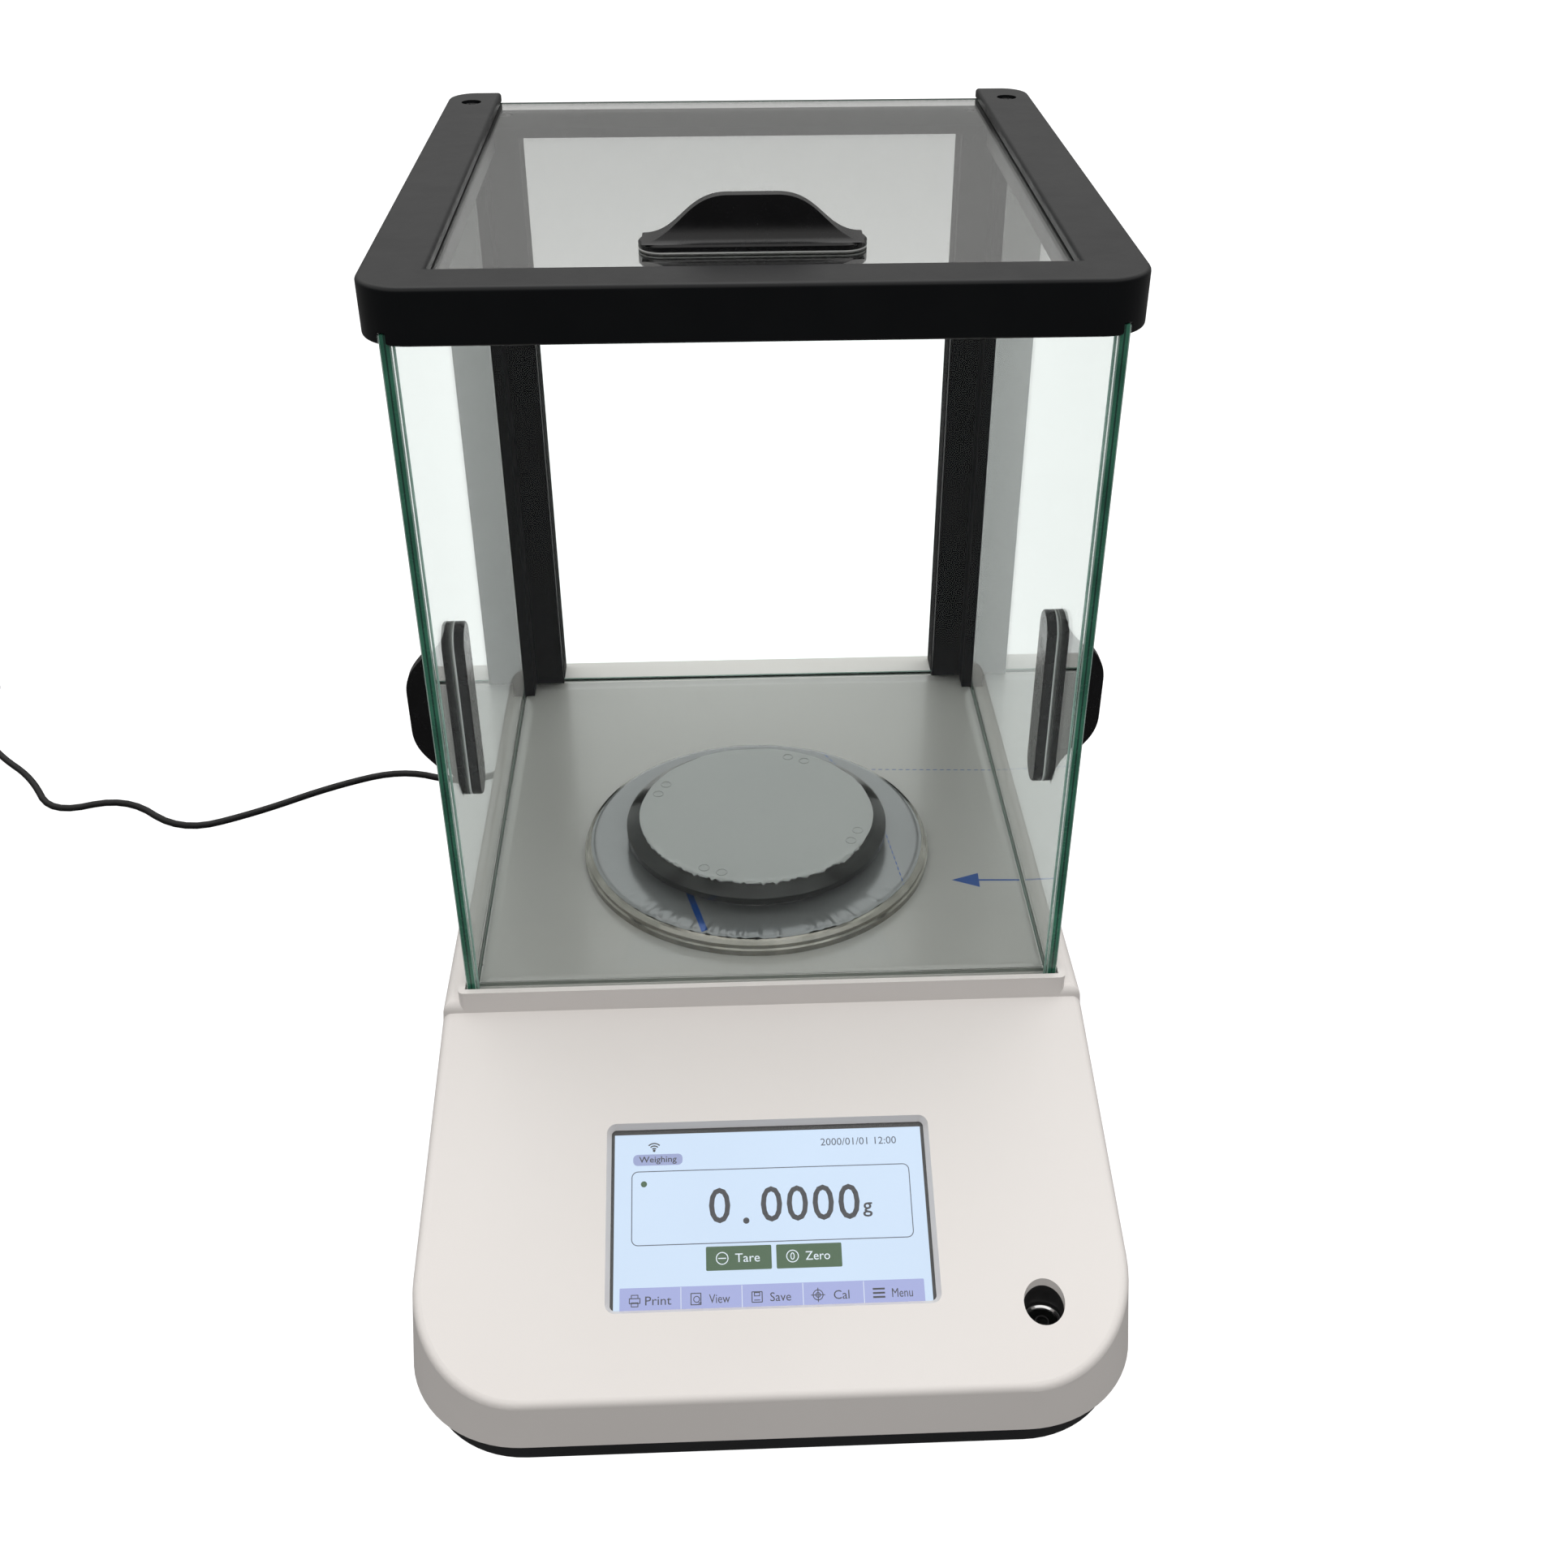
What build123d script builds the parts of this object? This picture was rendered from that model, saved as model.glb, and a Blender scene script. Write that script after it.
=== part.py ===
from build123d import *
import math
import os

# Analytical balance with a glass draft shield and a sloping touch-screen panel.
# Millimetres. X to the right, Y to the rear, Z up. The origin is on the table,
# under the middle of the balance.

# Overall sizes
base_width = 220.0         # housing, at its lower edge
base_depth = 337.0         # housing, at its lower edge
chamber_height = 214.5     # platform to the underside of the top frame
base_height = 96.0         # table to the platform that carries the glass
# Housing
housing_bottom = 22.0
wall = 2.5
top_wall = 3.0
wall_lean = 6.1            # degrees that the outer walls lean inwards
front_radius = 36.5
rear_radius = 22.0
crease_height = 37.9       # table to the foot of the sloping panel
panel_angle = 26.4
panel_run = 109.8          # front edge to the lip before the glass
panel_wall = 2.8
edge_round = 3.0
shoulder = 4.9             # platform left beside the lip
lip_width = 2.1
lip_height = 4.5
side_lip_height = 2.6
# Tray and feet
tray_bottom = 9.5
tray_inset = 4.0
tray_floor = 3.0
tray_wall = 3.0
foot_inset_x = 39.0        # housing side to a foot's axis
foot_inset_y = 26.0
wheel_radius = 16.0
wheel_thickness = 4.6
pad_radius = 12.5
pad_height = 2.6
stud_radius = 4.0
stud_rise = 9.6            # stud above the wheel
insert_radius = 6.5
insert_height = 8.0
boss_radius = 10.0
thread_clearance = 0.06
tray_screw_inset = 17.0
tray_screw_front = 70.0
tray_screw_rear = 62.0
screw_post_radius = 4.5
screw_rib = 2.4
# Glass box
glass = 3.0
glass_gap = 0.3            # between sliding glass and what guides it
seat_gap = 0.2
lip_gap = 1.3              # lip to the front pane
plate_gap = 0.3            # floor plate to the glass
post_gap = 0.4             # floor plate to a post
pocket_gap = 0.05          # crossbar in its pockets
front_pane_bite = 5.0      # front pane inside the rail
door_set_back = 4.0        # rear end of the rails to the side doors
top_pane_set_back = 1.5
top_pane_rest = 1.8        # top pane to the crossbar
track_height = 1.0
track_inset = 0.1
pad_rise = 1.9             # raised floor inside the platform
floor_thickness = 1.5
rail_width = 17.2
rail_height = 15.0
rail_overhang = 5.85       # rail beyond the face of a side door
front_rail_depth = 15.9
front_rail_overhang = 1.7  # rail before the face of the front pane
frame_front_radius = 13.0
frame_rear_radius = 9.0
frame_edge = 1.3
rail_lip = 2.9             # metal over the sliding top pane
top_pane_bite = 5.4        # top pane inside the rails
door_bite = 2.8            # side door inside the rails
platform_rear = 10.5       # platform left behind the top frame
post_width = 15.0
post_leg = 4.0
post_depth = 27.5
post_web = 17.0
web_lip = 3.0              # post in front of the rear pane
post_slot = 8.3
crossbar_thickness = 3.0
crossbar_overhang = 4.8    # crossbar beyond a post, under the rail
crossbar_lap = 2.0         # crossbar behind a post
post_screw_shift = 2.0     # middle of a post to its screws
post_thread = 14.0
frame_screw_back = 15.0    # rear end of the rails to their screws
rear_gap = 2.5             # rear face of the rails to that of the crossbar
# Handles
handle_length = 61.0
handle_width = 13.0
handle_height = 13.4
handle_foot = 1.8
handle_crown = 13.0        # length of the flat crown
handle_fin = 3.6
tape = 0.4
counter_plate = 3.0
handle_back = 46.4         # front face of the doors to the handle
side_handle_height = 83.9  # platform to the middle of a side handle
# Pan
pan_back = 77.4            # lip to the pan's axis
pan_radius = 45.6
pan_bevel = 4.6
pan_drop = 3.2
pan_skirt = 2.4
pan_sheet = 1.0
pan_rise = 15.1            # floor plate to the pan's top
spider_sheet = 1.5
spider_width = 10.0
spider_turn = 65.0
hub_radius = 9.0
hub_height = 8.0
ring_overlap = 6.6         # the pan over the draft ring
ring_width = 21.8
ring_height = 5.6
ring_sheet = 0.8
ring_bead = 1.5
spindle_radius = 4.0
spindle_clearance = 0.08
spindle_hole = 14.0
# Weighing cell
cell_width = 56.0
cell_length = 90.0
cell_height = 52.0
cell_column = 18.0
cell_guide = 8.0
cell_flexure = 1.4
flexure_radius = 3.0
cell_thread = 10.0
standoff_height = 7.5
standoff_radius = 6.0
standoff_inset = 8.0
standoff_reach = 24.0      # rear column of the cell to the front standoffs
magnet_radius = 20.0
magnet_height = 34.0
magnet_gap = 3.0
coil_radius = 12.0
coil_sheet = 2.4
coil_height = 14.0
coil_slot = 1.0
lever_width = 14.0
lever_thickness = 6.0
# Screen
screen_width = 99.5
screen_height = 57.5
screen_rise = 55.7         # foot of the panel to the screen's middle
screen_slope = 1.3         # bevel round the window
glass_margin = 3.4
touch_thickness = 1.1
module_thickness = 2.9
board_thickness = 1.6
board_margin = 8.6
screen_boss_radius = 3.6
screen_boss_inset = 4.6
# Spirit level
level_x = 79.95
level_back = 23.5
level_radius = 6.1
level_wall = 1.5
level_bottom = 30.0
level_top = 41.5
vial_radius = 4.7
vial_base = 2.0
# Rear sockets
port_thickness = 2.0
port_recess = 7.0          # housing's rear edge to the port plate
port_height = 34.0
port_width = 70.0
port_x = -50.0
socket_height = 42.0
inlet_x = -70.0
inlet_bore = 2.9
inlet_radius = 5.5
inlet_depth = 12.0
serial_x = -39.0
serial_width = 31.0
serial_height = 12.5
serial_rise = 6.0
main_board_width = 56.0
main_board_length = 96.0
main_board_back = 132.0
# Screws
m3 = 1.5
m4 = 2.0
m5 = 2.5
screw_fit = 0.2
head_sink = 2.4            # counterbores in the rails and the tray
bar_sink = 1.6
# Power lead
lead_radius = 1.6
plug_barrel = 2.75
plug_grip = 5.2
plug_grip_length = 24.0
relief_base = 4.3          # radius where the relief leaves the grip
relief_wall = 0.7          # left round the lead at its end
relief_grooves = 4
groove_depth = 0.6
lead_grip = 4.0            # lead inside a neck
lead_rest = 1.7
coil_centre = (-410.0, 302.0)
coil_inner = 13.4
coil_columns = 3
coil_height_turns = 2.6    # height of the wound ring, in leads
adapter_size = (44.0, 56.0, 26.0)
adapter_centre = (-428.4, 218.0)
adapter_neck = 8.0
pin_size = (1.5, 6.3, 16.0)
pin_spacing = 12.7

# Places worked out from the sizes above
front = -base_depth / 2
rear = base_depth / 2
lean = math.tan(math.radians(wall_lean))
slope = math.tan(math.radians(panel_angle))
platform = base_height
platform_half = base_width / 2 - (base_height - housing_bottom) * lean
lip_outer = platform_half - shoulder
lip_inner = lip_outer - lip_width
door_outer = lip_inner - glass_gap - seat_gap
door_inner = door_outer - glass
floor_half = door_inner - glass_gap
lip_front = front + panel_run
lip_back = lip_front + lip_width
pane_front = lip_back + lip_gap
pane_back = pane_front + glass
floor_front = pane_back + glass_gap
floor_top = platform + pad_rise + floor_thickness
pad_top = platform + pad_rise
rail_bottom = platform + chamber_height
rail_top = rail_bottom + rail_height
frame_outer = door_outer + rail_overhang
frame_inner = frame_outer - rail_width
frame_front = pane_front - front_rail_overhang
frame_back = frame_front + front_rail_depth
frame_rear = rear - platform_rear
door_bottom = platform + track_height + seat_gap
door_top = rail_bottom + door_bite
door_rear = frame_rear - door_set_back
top_pane_top = rail_top - rail_lip - seat_gap
top_pane_bottom = top_pane_top - glass
top_pane_half = frame_inner + top_pane_bite - glass_gap - seat_gap
top_pane_front = frame_back - front_rail_depth / 2
crossbar_top = top_pane_bottom - top_pane_rest
crossbar_bottom = crossbar_top - crossbar_thickness
crossbar_rear = frame_rear - rear_gap
crossbar_front = crossbar_rear - post_depth
crossbar_half = floor_half + crossbar_overhang
post_rear = crossbar_rear - crossbar_lap
post_front = post_rear - post_depth
web_front = post_rear - post_web
rear_pane_front = web_front + web_lip + seat_gap
post_screw_y = (rear_pane_front + glass + seat_gap + post_rear) / 2
post_screw_x = floor_half - post_width / 2 - post_screw_shift
pan_y = lip_front + pan_back
pan_top = floor_top + pan_rise
cell_bottom = tray_bottom + tray_floor + standoff_height
cell_top = cell_bottom + cell_height
cell_front = pan_y - cell_column / 2
cell_rear = cell_front + cell_length
magnet_y = cell_rear + magnet_gap + magnet_radius
spider_top = pan_top - pan_sheet
hub_bottom = spider_top - spider_sheet - hub_height
ring_inner = pan_radius - ring_overlap
ring_outer = ring_inner + ring_width
tray_floor_top = tray_bottom + tray_floor
port_y = rear - port_recess
handle_y = pane_front + handle_back - handle_width / 2

panel = Plane(
    origin=(0, front, crease_height),
    x_dir=(1, 0, 0),
    z_dir=(0, -math.sin(math.radians(panel_angle)), math.cos(math.radians(panel_angle))),
)
screen_plane = panel.offset(0)
screen_plane.origin = panel.from_local_coords((0, screen_rise, 0))

# Route of the power lead, from the plug's neck to the coil, then on to the adapter
lead_points = [
    (inlet_x, 203.0, socket_height),
    (inlet_x, 223.0, socket_height),
    (-80.0, 240.0, 16.0),
    (-108.0, 228.0, lead_rest),
    (-136.0, 208.0, lead_rest),
    (-166.0, 222.0, lead_rest),
    (-198.0, 209.0, lead_rest),
    (-230.0, 188.0, lead_rest),
    (-262.0, 174.0, lead_rest),
    (-294.0, 204.0, lead_rest),
    (-326.0, 191.0, lead_rest),
    (-344.0, 222.0, lead_rest),
    (-366.0, 242.0, lead_rest),
    (-384.0, 266.0, lead_rest),
    (-388.3, 295.0, lead_rest),
]


def block(x0, x1, y0, y1, z0, z1):
    size = Box(x1 - x0, y1 - y0, z1 - z0)
    return Pos((x0 + x1) / 2, (y0 + y1) / 2, (z0 + z1) / 2) * size


def rod(x, y, z0, z1, radius):
    return Pos(x, y, (z0 + z1) / 2) * Cylinder(radius, z1 - z0)


def turned(points, x=0.0, y=0.0):
    """Solid of revolution about a vertical axis, from (radius, height) points."""
    outline = Plane.XZ * make_face(Polyline(*points, close=True))
    return Pos(x, y, 0) * revolve(outline, Axis.Z)


def mirrored(solid):
    return mirror(solid, Plane.YZ)


def joined(solids):
    return Compound(children=list(solids))


def save(name, shape):
    export_step(shape, f"parts/{name}.step")


def screw(x, y, seat, length, radius, head_height):
    """Pan-head screw that points down, with a cross recess in its head."""
    head = rod(x, y, seat, seat + head_height, radius * 1.9)
    head = chamfer(head.edges().group_by(Axis.Z)[-1], head_height * 0.35)
    shank = rod(x, y, seat - length, seat, radius)
    body = head + shank
    for angle in (0, 90):
        arm = Box(radius * 2.0, radius * 0.42, head_height)
        top = seat + head_height * 0.95
        body -= Pos(x, y, top) * Rot(0, 0, angle + 45) * arm
    return body


def upturned(x, y, seat, length, radius, head_height):
    """The same screw, pointing up."""
    return Pos(x, y, seat) * Rot(180, 0, 0) * screw(0, 0, 0, length, radius, head_height)


# Housing

def housing_plan(inset):
    outline = Rectangle(base_width - 2 * inset, base_depth - 2 * inset)
    corners = outline.vertices().group_by(Axis.Y)
    outline = fillet(corners[0], front_radius - inset)
    corners = outline.vertices().group_by(Axis.Y)
    return fillet(corners[-1], rear_radius - inset)


def leaning_block(inset, top):
    plan = Pos(0, 0, housing_bottom) * housing_plan(inset)
    return extrude(plan, top - housing_bottom, taper=wall_lean)


def above_panel(drop, run):
    """Everything over the sloping panel, as far back as run."""
    start = front - 20.0
    low = crease_height - drop - 20.0 * slope
    high = crease_height - drop + run * slope
    sky = base_height + 60.0
    outline = Polyline(
        (start, low), (front + run, high), (front + run, sky), (start, sky), close=True
    )
    side = Plane.YZ * make_face(outline)
    return extrude(side, base_width / 2 + 10.0, both=True)


def make_housing():
    body = leaning_block(0, platform)
    body -= above_panel(0, panel_run)
    step = crease_height + panel_run * slope
    brim = [
        edge for edge in body.edges()
        if edge.center().Z > crease_height - 0.5
        and not (abs(edge.center().Z - step) < 0.6 and abs(edge.center().X) < 1.0)
        and not (edge.bounding_box().size.Z > 2.0 and edge.center().Z > step - 1.0)
    ]
    body = fillet(brim, edge_round)
    drop = panel_wall / math.cos(math.radians(panel_angle))
    cavity = leaning_block(wall, platform - top_wall)
    cavity -= above_panel(drop, panel_run + wall)
    body -= cavity
    body += make_lip()
    body -= make_window()
    body += make_screen_bosses()
    body -= rod(level_x, front + level_back, housing_bottom, platform, level_radius)
    half_port = port_width / 2 - 2.0
    body -= block(
        port_x - half_port, port_x + half_port, port_y - 2.0, rear + 5.0,
        housing_bottom + 4.0, housing_bottom + port_height,
    )
    body -= rod(0, pan_y, platform - 10, platform + 10, spindle_hole)
    for side in (-1, 1):
        x = side * post_screw_x
        body -= rod(x, post_screw_y, platform - 10, platform + 10, m4 + screw_fit)
    for x, y in tray_screw_places():
        side = math.copysign(1, x)
        rib_top = crease_height - 6.0
        wall_x = base_width / 2 - wall * 0.6 - (rib_top - housing_bottom) * lean
        x0, x1 = sorted((x, side * wall_x))
        post = rod(x, y, housing_bottom, rib_top, screw_post_radius)
        post += block(x0, x1, y - screw_rib / 2, y + screw_rib / 2, housing_bottom, rib_top)
        body += post - rod(x, y, housing_bottom, rib_top - 2.0, m3)
    return body


def make_lip():
    """Raised rims round the glass and the raised floor between the doors."""
    root = platform - 1.0
    lip_top = platform + lip_height
    side_top = platform + side_lip_height
    bar = block(-lip_outer, lip_outer, lip_front, lip_back, step_foot(), lip_top)
    corners = bar.edges().filter_by(Axis.Z).group_by(Axis.Y)[0]
    bar = fillet(corners, lip_width * 0.9)
    turn = lip_front + 6.0
    notch = 2.0
    for side in (-1, 1):
        x0, x1 = sorted((side * lip_inner, side * lip_outer))
        bar += block(x0, x1, lip_back - 0.5, turn, root, lip_top)
        bar += block(x0, x1, turn + notch, frame_rear, root, side_top)
    pad = block(-floor_half, floor_half, floor_front, post_rear + 2.0, root, pad_top)
    return bar + pad


def step_foot():
    return crease_height + panel_run * slope - 2.0


def make_window():
    """Window with bevelled sides, sunk square to the sloping panel."""
    outer = Rectangle(screen_width, screen_height)
    outer = fillet(outer.vertices(), 3.0)
    lean_in = math.degrees(math.atan(screen_slope / panel_wall))
    hole = extrude(outer, -panel_wall, taper=lean_in)
    upper = extrude(outer, 6.0)
    inner = Rectangle(screen_width - 2 * screen_slope, screen_height - 2 * screen_slope)
    lower = extrude(Pos(0, 0, -panel_wall + 0.1) * inner, -3.0)
    return screen_plane * (hole + upper + lower)


def screen_boss_places():
    half_x = screen_width / 2 + board_margin + 4.0 - screen_boss_inset
    half_y = screen_height / 2 + board_margin - screen_boss_inset
    return [(sx * half_x, sy * half_y) for sx in (-1, 1) for sy in (-1, 1)]


def make_screen_bosses():
    length = touch_thickness + module_thickness
    top = -panel_wall + 0.5
    bosses = []
    for x, y in screen_boss_places():
        boss = Pos(x, y, 0) * rod(0, 0, -panel_wall - length, top, screen_boss_radius)
        boss -= Pos(x, y, 0) * rod(0, 0, -panel_wall - length, -panel_wall - 0.5, m3)
        bosses.append(screen_plane * boss)
    return bosses


def tray_screw_places():
    x = base_width / 2 - tray_screw_inset
    ys = (front + tray_screw_front, rear - tray_screw_rear)
    return [(sx * x, y) for sx in (-1, 1) for y in ys]


# Tray and feet

def foot_places():
    x = base_width / 2 - foot_inset_x
    ys = {"front": front + foot_inset_y, "rear": rear - foot_inset_y}
    sides = {"left": -x, "right": x}
    return {f"{row}_{side}": (sides[side], ys[row]) for row in ys for side in sides}


def make_tray():
    plan = Pos(0, 0, tray_bottom) * housing_plan(tray_inset)
    body = extrude(plan, housing_bottom - tray_bottom)
    body = chamfer(body.edges().group_by(Axis.Z)[0], 2.0)
    hollow = Pos(0, 0, tray_floor_top) * housing_plan(tray_inset + tray_wall)
    body -= extrude(hollow, housing_bottom - tray_floor_top)
    boss_top = tray_bottom + insert_height + 1.0
    for x, y in foot_places().values():
        body += rod(x, y, tray_floor_top - 0.5, boss_top, boss_radius)
    for x, y in foot_places().values():
        body -= rod(x, y, tray_bottom, tray_bottom + insert_height, insert_radius)
        body -= rod(x, y, tray_bottom, boss_top, stud_radius + 0.5)
    for x, y in tray_screw_places():
        body += rod(x, y, tray_floor_top - 0.5, housing_bottom, screw_post_radius + 0.5)
        body -= rod(x, y, tray_bottom, housing_bottom, m3 + screw_fit)
        body -= rod(x, y, tray_bottom, tray_bottom + head_sink, m3 * 1.9 + 0.3)
    for x, y in standoff_places():
        body -= rod(x, y, tray_bottom, tray_floor_top, m5 + screw_fit)
    for x, y in board_post_places():
        body += rod(x, y, tray_floor_top - 0.5, tray_floor_top + 4.5, 3.0)
    return body


def make_feet():
    low = pad_height
    high = pad_height + wheel_thickness
    for name, (x, y) in foot_places().items():
        pad = rod(x, y, 0, pad_height, pad_radius)
        pad = fillet(pad.edges().group_by(Axis.Z)[0], 1.0)
        save(f"foot_pad_{name}", pad)
        wheel = rod(x, y, low, high, wheel_radius)
        wheel = chamfer(wheel.edges(), 0.6)
        stud = rod(x, y, high - 0.5, high + stud_rise, stud_radius)
        stud = chamfer(stud.edges().group_by(Axis.Z)[-1], 0.7)
        save(f"foot_wheel_{name}", wheel + stud)
    inserts = []
    for x, y in foot_places().values():
        top = tray_bottom + insert_height
        insert = rod(x, y, tray_bottom, top, insert_radius)
        bore = rod(x, y, tray_bottom, top, stud_radius + thread_clearance)
        inserts.append(insert - bore)
    save("foot_inserts", joined(inserts))


# Draft shield

def make_frame():
    outline = Pos(0, (frame_front + frame_rear) / 2) * Rectangle(
        2 * frame_outer, frame_rear - frame_front
    )
    opening = Pos(0, (frame_back + frame_rear) / 2 + 10) * Rectangle(
        2 * frame_inner, frame_rear - frame_back + 20
    )
    plan = outline - opening
    rows = plan.vertices().group_by(Axis.Y)
    plan = fillet(rows[0], frame_front_radius)
    tips = [v for v in plan.vertices() if v.Y > frame_rear - 0.1 and abs(v.X) > frame_outer - 0.1]
    plan = fillet(tips, frame_rear_radius)
    body = extrude(Pos(0, 0, rail_bottom) * plan, rail_height)
    body = fillet(body.edges().group_by(Axis.Z)[-1], frame_edge)
    body = fillet(body.edges().group_by(Axis.Z)[0], frame_edge * 0.7)
    high = rail_top - rail_lip
    body -= block(
        -top_pane_half - glass_gap, top_pane_half + glass_gap,
        top_pane_front - glass_gap, frame_rear + 5, top_pane_bottom - seat_gap, high,
    )
    groove_top = door_top + seat_gap + glass_gap
    body -= block(
        -floor_half, floor_half, pane_front - glass_gap, pane_back + glass_gap,
        rail_bottom - 1, rail_bottom + front_pane_bite + glass_gap,
    )
    pocket_low = crossbar_bottom - pocket_gap
    pocket_front = post_front - glass_gap
    pocket_rear = crossbar_rear + 2 * pocket_gap
    for side in (-1, 1):
        x0, x1 = sorted((side * (door_inner - glass_gap), side * (door_outer + glass_gap)))
        body -= block(
            x0, x1, pane_front - 2 * glass_gap, frame_rear + 5, rail_bottom - 1, groove_top,
        )
        x0, x1 = sorted((0, side * (crossbar_half + glass_gap)))
        body -= block(x0, x1, pocket_front, pocket_rear, pocket_low, crossbar_top)
        x0, x1 = sorted((0, side * (floor_half + pocket_gap / 2)))
        body -= block(x0, x1, pocket_front, pocket_rear, rail_bottom - 1, pocket_low + 1)
        x, y = frame_screw_place(side)
        body -= rod(x, y, rail_bottom, rail_top + 1, m3 + screw_fit)
        body -= rod(x, y, rail_top - head_sink, rail_top + 1, m3 * 1.9 + 0.5)
    return body


def frame_screw_place(side):
    x = (frame_inner + frame_outer) / 2
    return side * x, frame_rear - frame_screw_back


def make_post():
    """Right-hand rear post: an angle with a slot for the rear pane."""
    outer = floor_half
    body = block(outer - post_leg, outer, post_front, post_rear, pad_top, crossbar_bottom)
    body += block(outer - post_width, outer, web_front, post_rear, pad_top, crossbar_bottom)
    inner = outer - post_width
    body -= block(
        inner - 1, inner + post_slot, rear_pane_front - seat_gap,
        rear_pane_front + glass + seat_gap, pad_top - 1, crossbar_bottom + 1,
    )
    body -= rod(post_screw_x, post_screw_y, pad_top, pad_top + post_thread, m4)
    body -= rod(post_screw_x, post_screw_y, crossbar_bottom - post_thread, crossbar_bottom, m3)
    return body


def make_crossbar():
    body = block(
        -crossbar_half, crossbar_half, crossbar_front, crossbar_rear,
        crossbar_bottom, crossbar_top,
    )
    for side in (-1, 1):
        sink = crossbar_top - bar_sink
        x = side * post_screw_x
        body -= rod(x, post_screw_y, crossbar_bottom, crossbar_top, m3 + screw_fit)
        body -= rod(x, post_screw_y, sink, crossbar_top, m3 * 1.9 + 0.3)
        x, y = frame_screw_place(side)
        body -= rod(x, y, crossbar_bottom, crossbar_top, m3)
    return body


def make_floor():
    body = block(
        -floor_half + plate_gap, floor_half - plate_gap, floor_front + plate_gap,
        web_front - post_gap, pad_top, floor_top,
    )
    for side in (-1, 1):
        x0, x1 = sorted((side * (floor_half - post_leg - post_gap), side * (floor_half + 1)))
        body -= block(x0, x1, post_front - post_gap, web_front + 1, pad_top, floor_top)
    body -= rod(0, pan_y, pad_top, floor_top, spindle_hole)
    return body


def make_tracks():
    strips = []
    for side in (-1, 1):
        x0, x1 = sorted((side * (door_inner + track_inset), side * (door_outer - track_inset)))
        strips.append(block(x0, x1, pane_front, frame_rear, platform, platform + track_height))
    return joined(strips)


def rounded_plate(thickness):
    """Oblong plate in XY, its length along Y, standing on z = 0."""
    return extrude(SlotOverall(handle_length, handle_width, rotation=90), thickness)


def make_grip():
    """Bell-shaped fin on an oblong foot, length along Y, standing on z = 0."""
    half = handle_length / 2 - 1.0
    crown = handle_crown / 2
    top = handle_height
    low = handle_foot
    rise = Spline((half, low), (crown, top), tangents=[(-1, 0.12), (-1, 0)])
    fall = mirror(rise, Plane.YZ)
    bell = make_face([rise, Line((crown, top), (-crown, top)), fall, Line((-half, low), (half, low))])
    fin = extrude(Plane.YZ * bell, handle_width / 2, both=True)
    wide = handle_width / 2 - 0.8
    thin = handle_fin / 2
    flank = Spline((wide, low), (thin, top), tangents=[(-1, 0.35), (-0.12, 1)])
    other = mirror(flank, Plane.YZ)
    waist = make_face([flank, Line((thin, top), (-thin, top)), other, Line((-wide, low), (wide, low))])
    fin &= extrude(Plane.XZ * waist, handle_length / 2, both=True)
    foot = rounded_plate(handle_foot)
    foot = chamfer(foot.edges().group_by(Axis.Z)[-1], 0.5)
    return foot + fin


def save_door(name, pane, seat, inside):
    """Pane, outer grip, inner plate and their tape. seat and inside are Planes on the pane."""
    save(f"{name}_glass", pane)
    save(f"{name}_handle", seat.offset(tape) * make_grip())
    outer_tape = seat * rounded_plate(tape)
    inner_tape = inside * rounded_plate(tape)
    save(f"{name}_tape", joined([outer_tape, inner_tape]))
    plate = rounded_plate(counter_plate)
    plate = chamfer(plate.edges().group_by(Axis.Z)[-1], 0.4)
    save(f"{name}_plate", inside.offset(tape) * plate)


def make_doors():
    pane = block(
        -top_pane_half, top_pane_half, top_pane_front, frame_rear - top_pane_set_back,
        top_pane_bottom, top_pane_top,
    )
    seat = Plane(origin=(0, handle_y, top_pane_top), x_dir=(0, 1, 0), z_dir=(0, 0, 1))
    inside = Plane(origin=(0, handle_y, top_pane_bottom), x_dir=(0, 1, 0), z_dir=(0, 0, -1))
    save_door("top_door", pane, seat, inside)
    middle = platform + side_handle_height
    for name, side in (("left_door", -1), ("right_door", 1)):
        x0, x1 = sorted((side * door_inner, side * door_outer))
        pane = block(x0, x1, pane_front, door_rear, door_bottom, door_top)
        seat = Plane(
            origin=(side * door_outer, handle_y, middle), x_dir=(0, -side, 0), z_dir=(side, 0, 0)
        )
        inside = Plane(
            origin=(side * door_inner, handle_y, middle), x_dir=(0, side, 0), z_dir=(-side, 0, 0)
        )
        save_door(name, pane, seat, inside)


# Pan and weighing cell

def make_pan():
    flat = pan_radius - pan_bevel
    edge = pan_top - pan_drop
    skirt = edge - pan_skirt
    return turned(
        [
            (0, pan_top), (flat, pan_top), (pan_radius - 1.2, edge + 0.9), (pan_radius, edge),
            (pan_radius, skirt), (pan_radius - pan_sheet, skirt),
            (pan_radius - pan_sheet, edge - 0.4), (flat, pan_top - pan_sheet), (0, pan_top - pan_sheet),
        ],
        0, pan_y,
    )


def make_spider():
    low = spider_top - spider_sheet
    reach = pan_radius - pan_bevel - 2.0
    body = rod(0, 0, hub_bottom, spider_top, hub_radius)
    for arm in range(4):
        bar = block(0, reach, -spider_width / 2, spider_width / 2, low, spider_top)
        body += Rot(0, 0, spider_turn + 90 * arm) * bar
    bore = spindle_radius + spindle_clearance
    body -= rod(0, 0, hub_bottom, hub_bottom + hub_height - 1.5, bore)
    return Pos(0, pan_y, 0) * body


def make_spindle():
    top = hub_bottom + hub_height - 1.5 - spindle_clearance
    shaft = rod(0, pan_y, cell_top, top, spindle_radius)
    shaft = chamfer(shaft.edges().group_by(Axis.Z)[-1], 0.8)
    collar = rod(0, pan_y, cell_top, cell_top + 4.0, spindle_radius * 1.7)
    return shaft + collar


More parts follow.
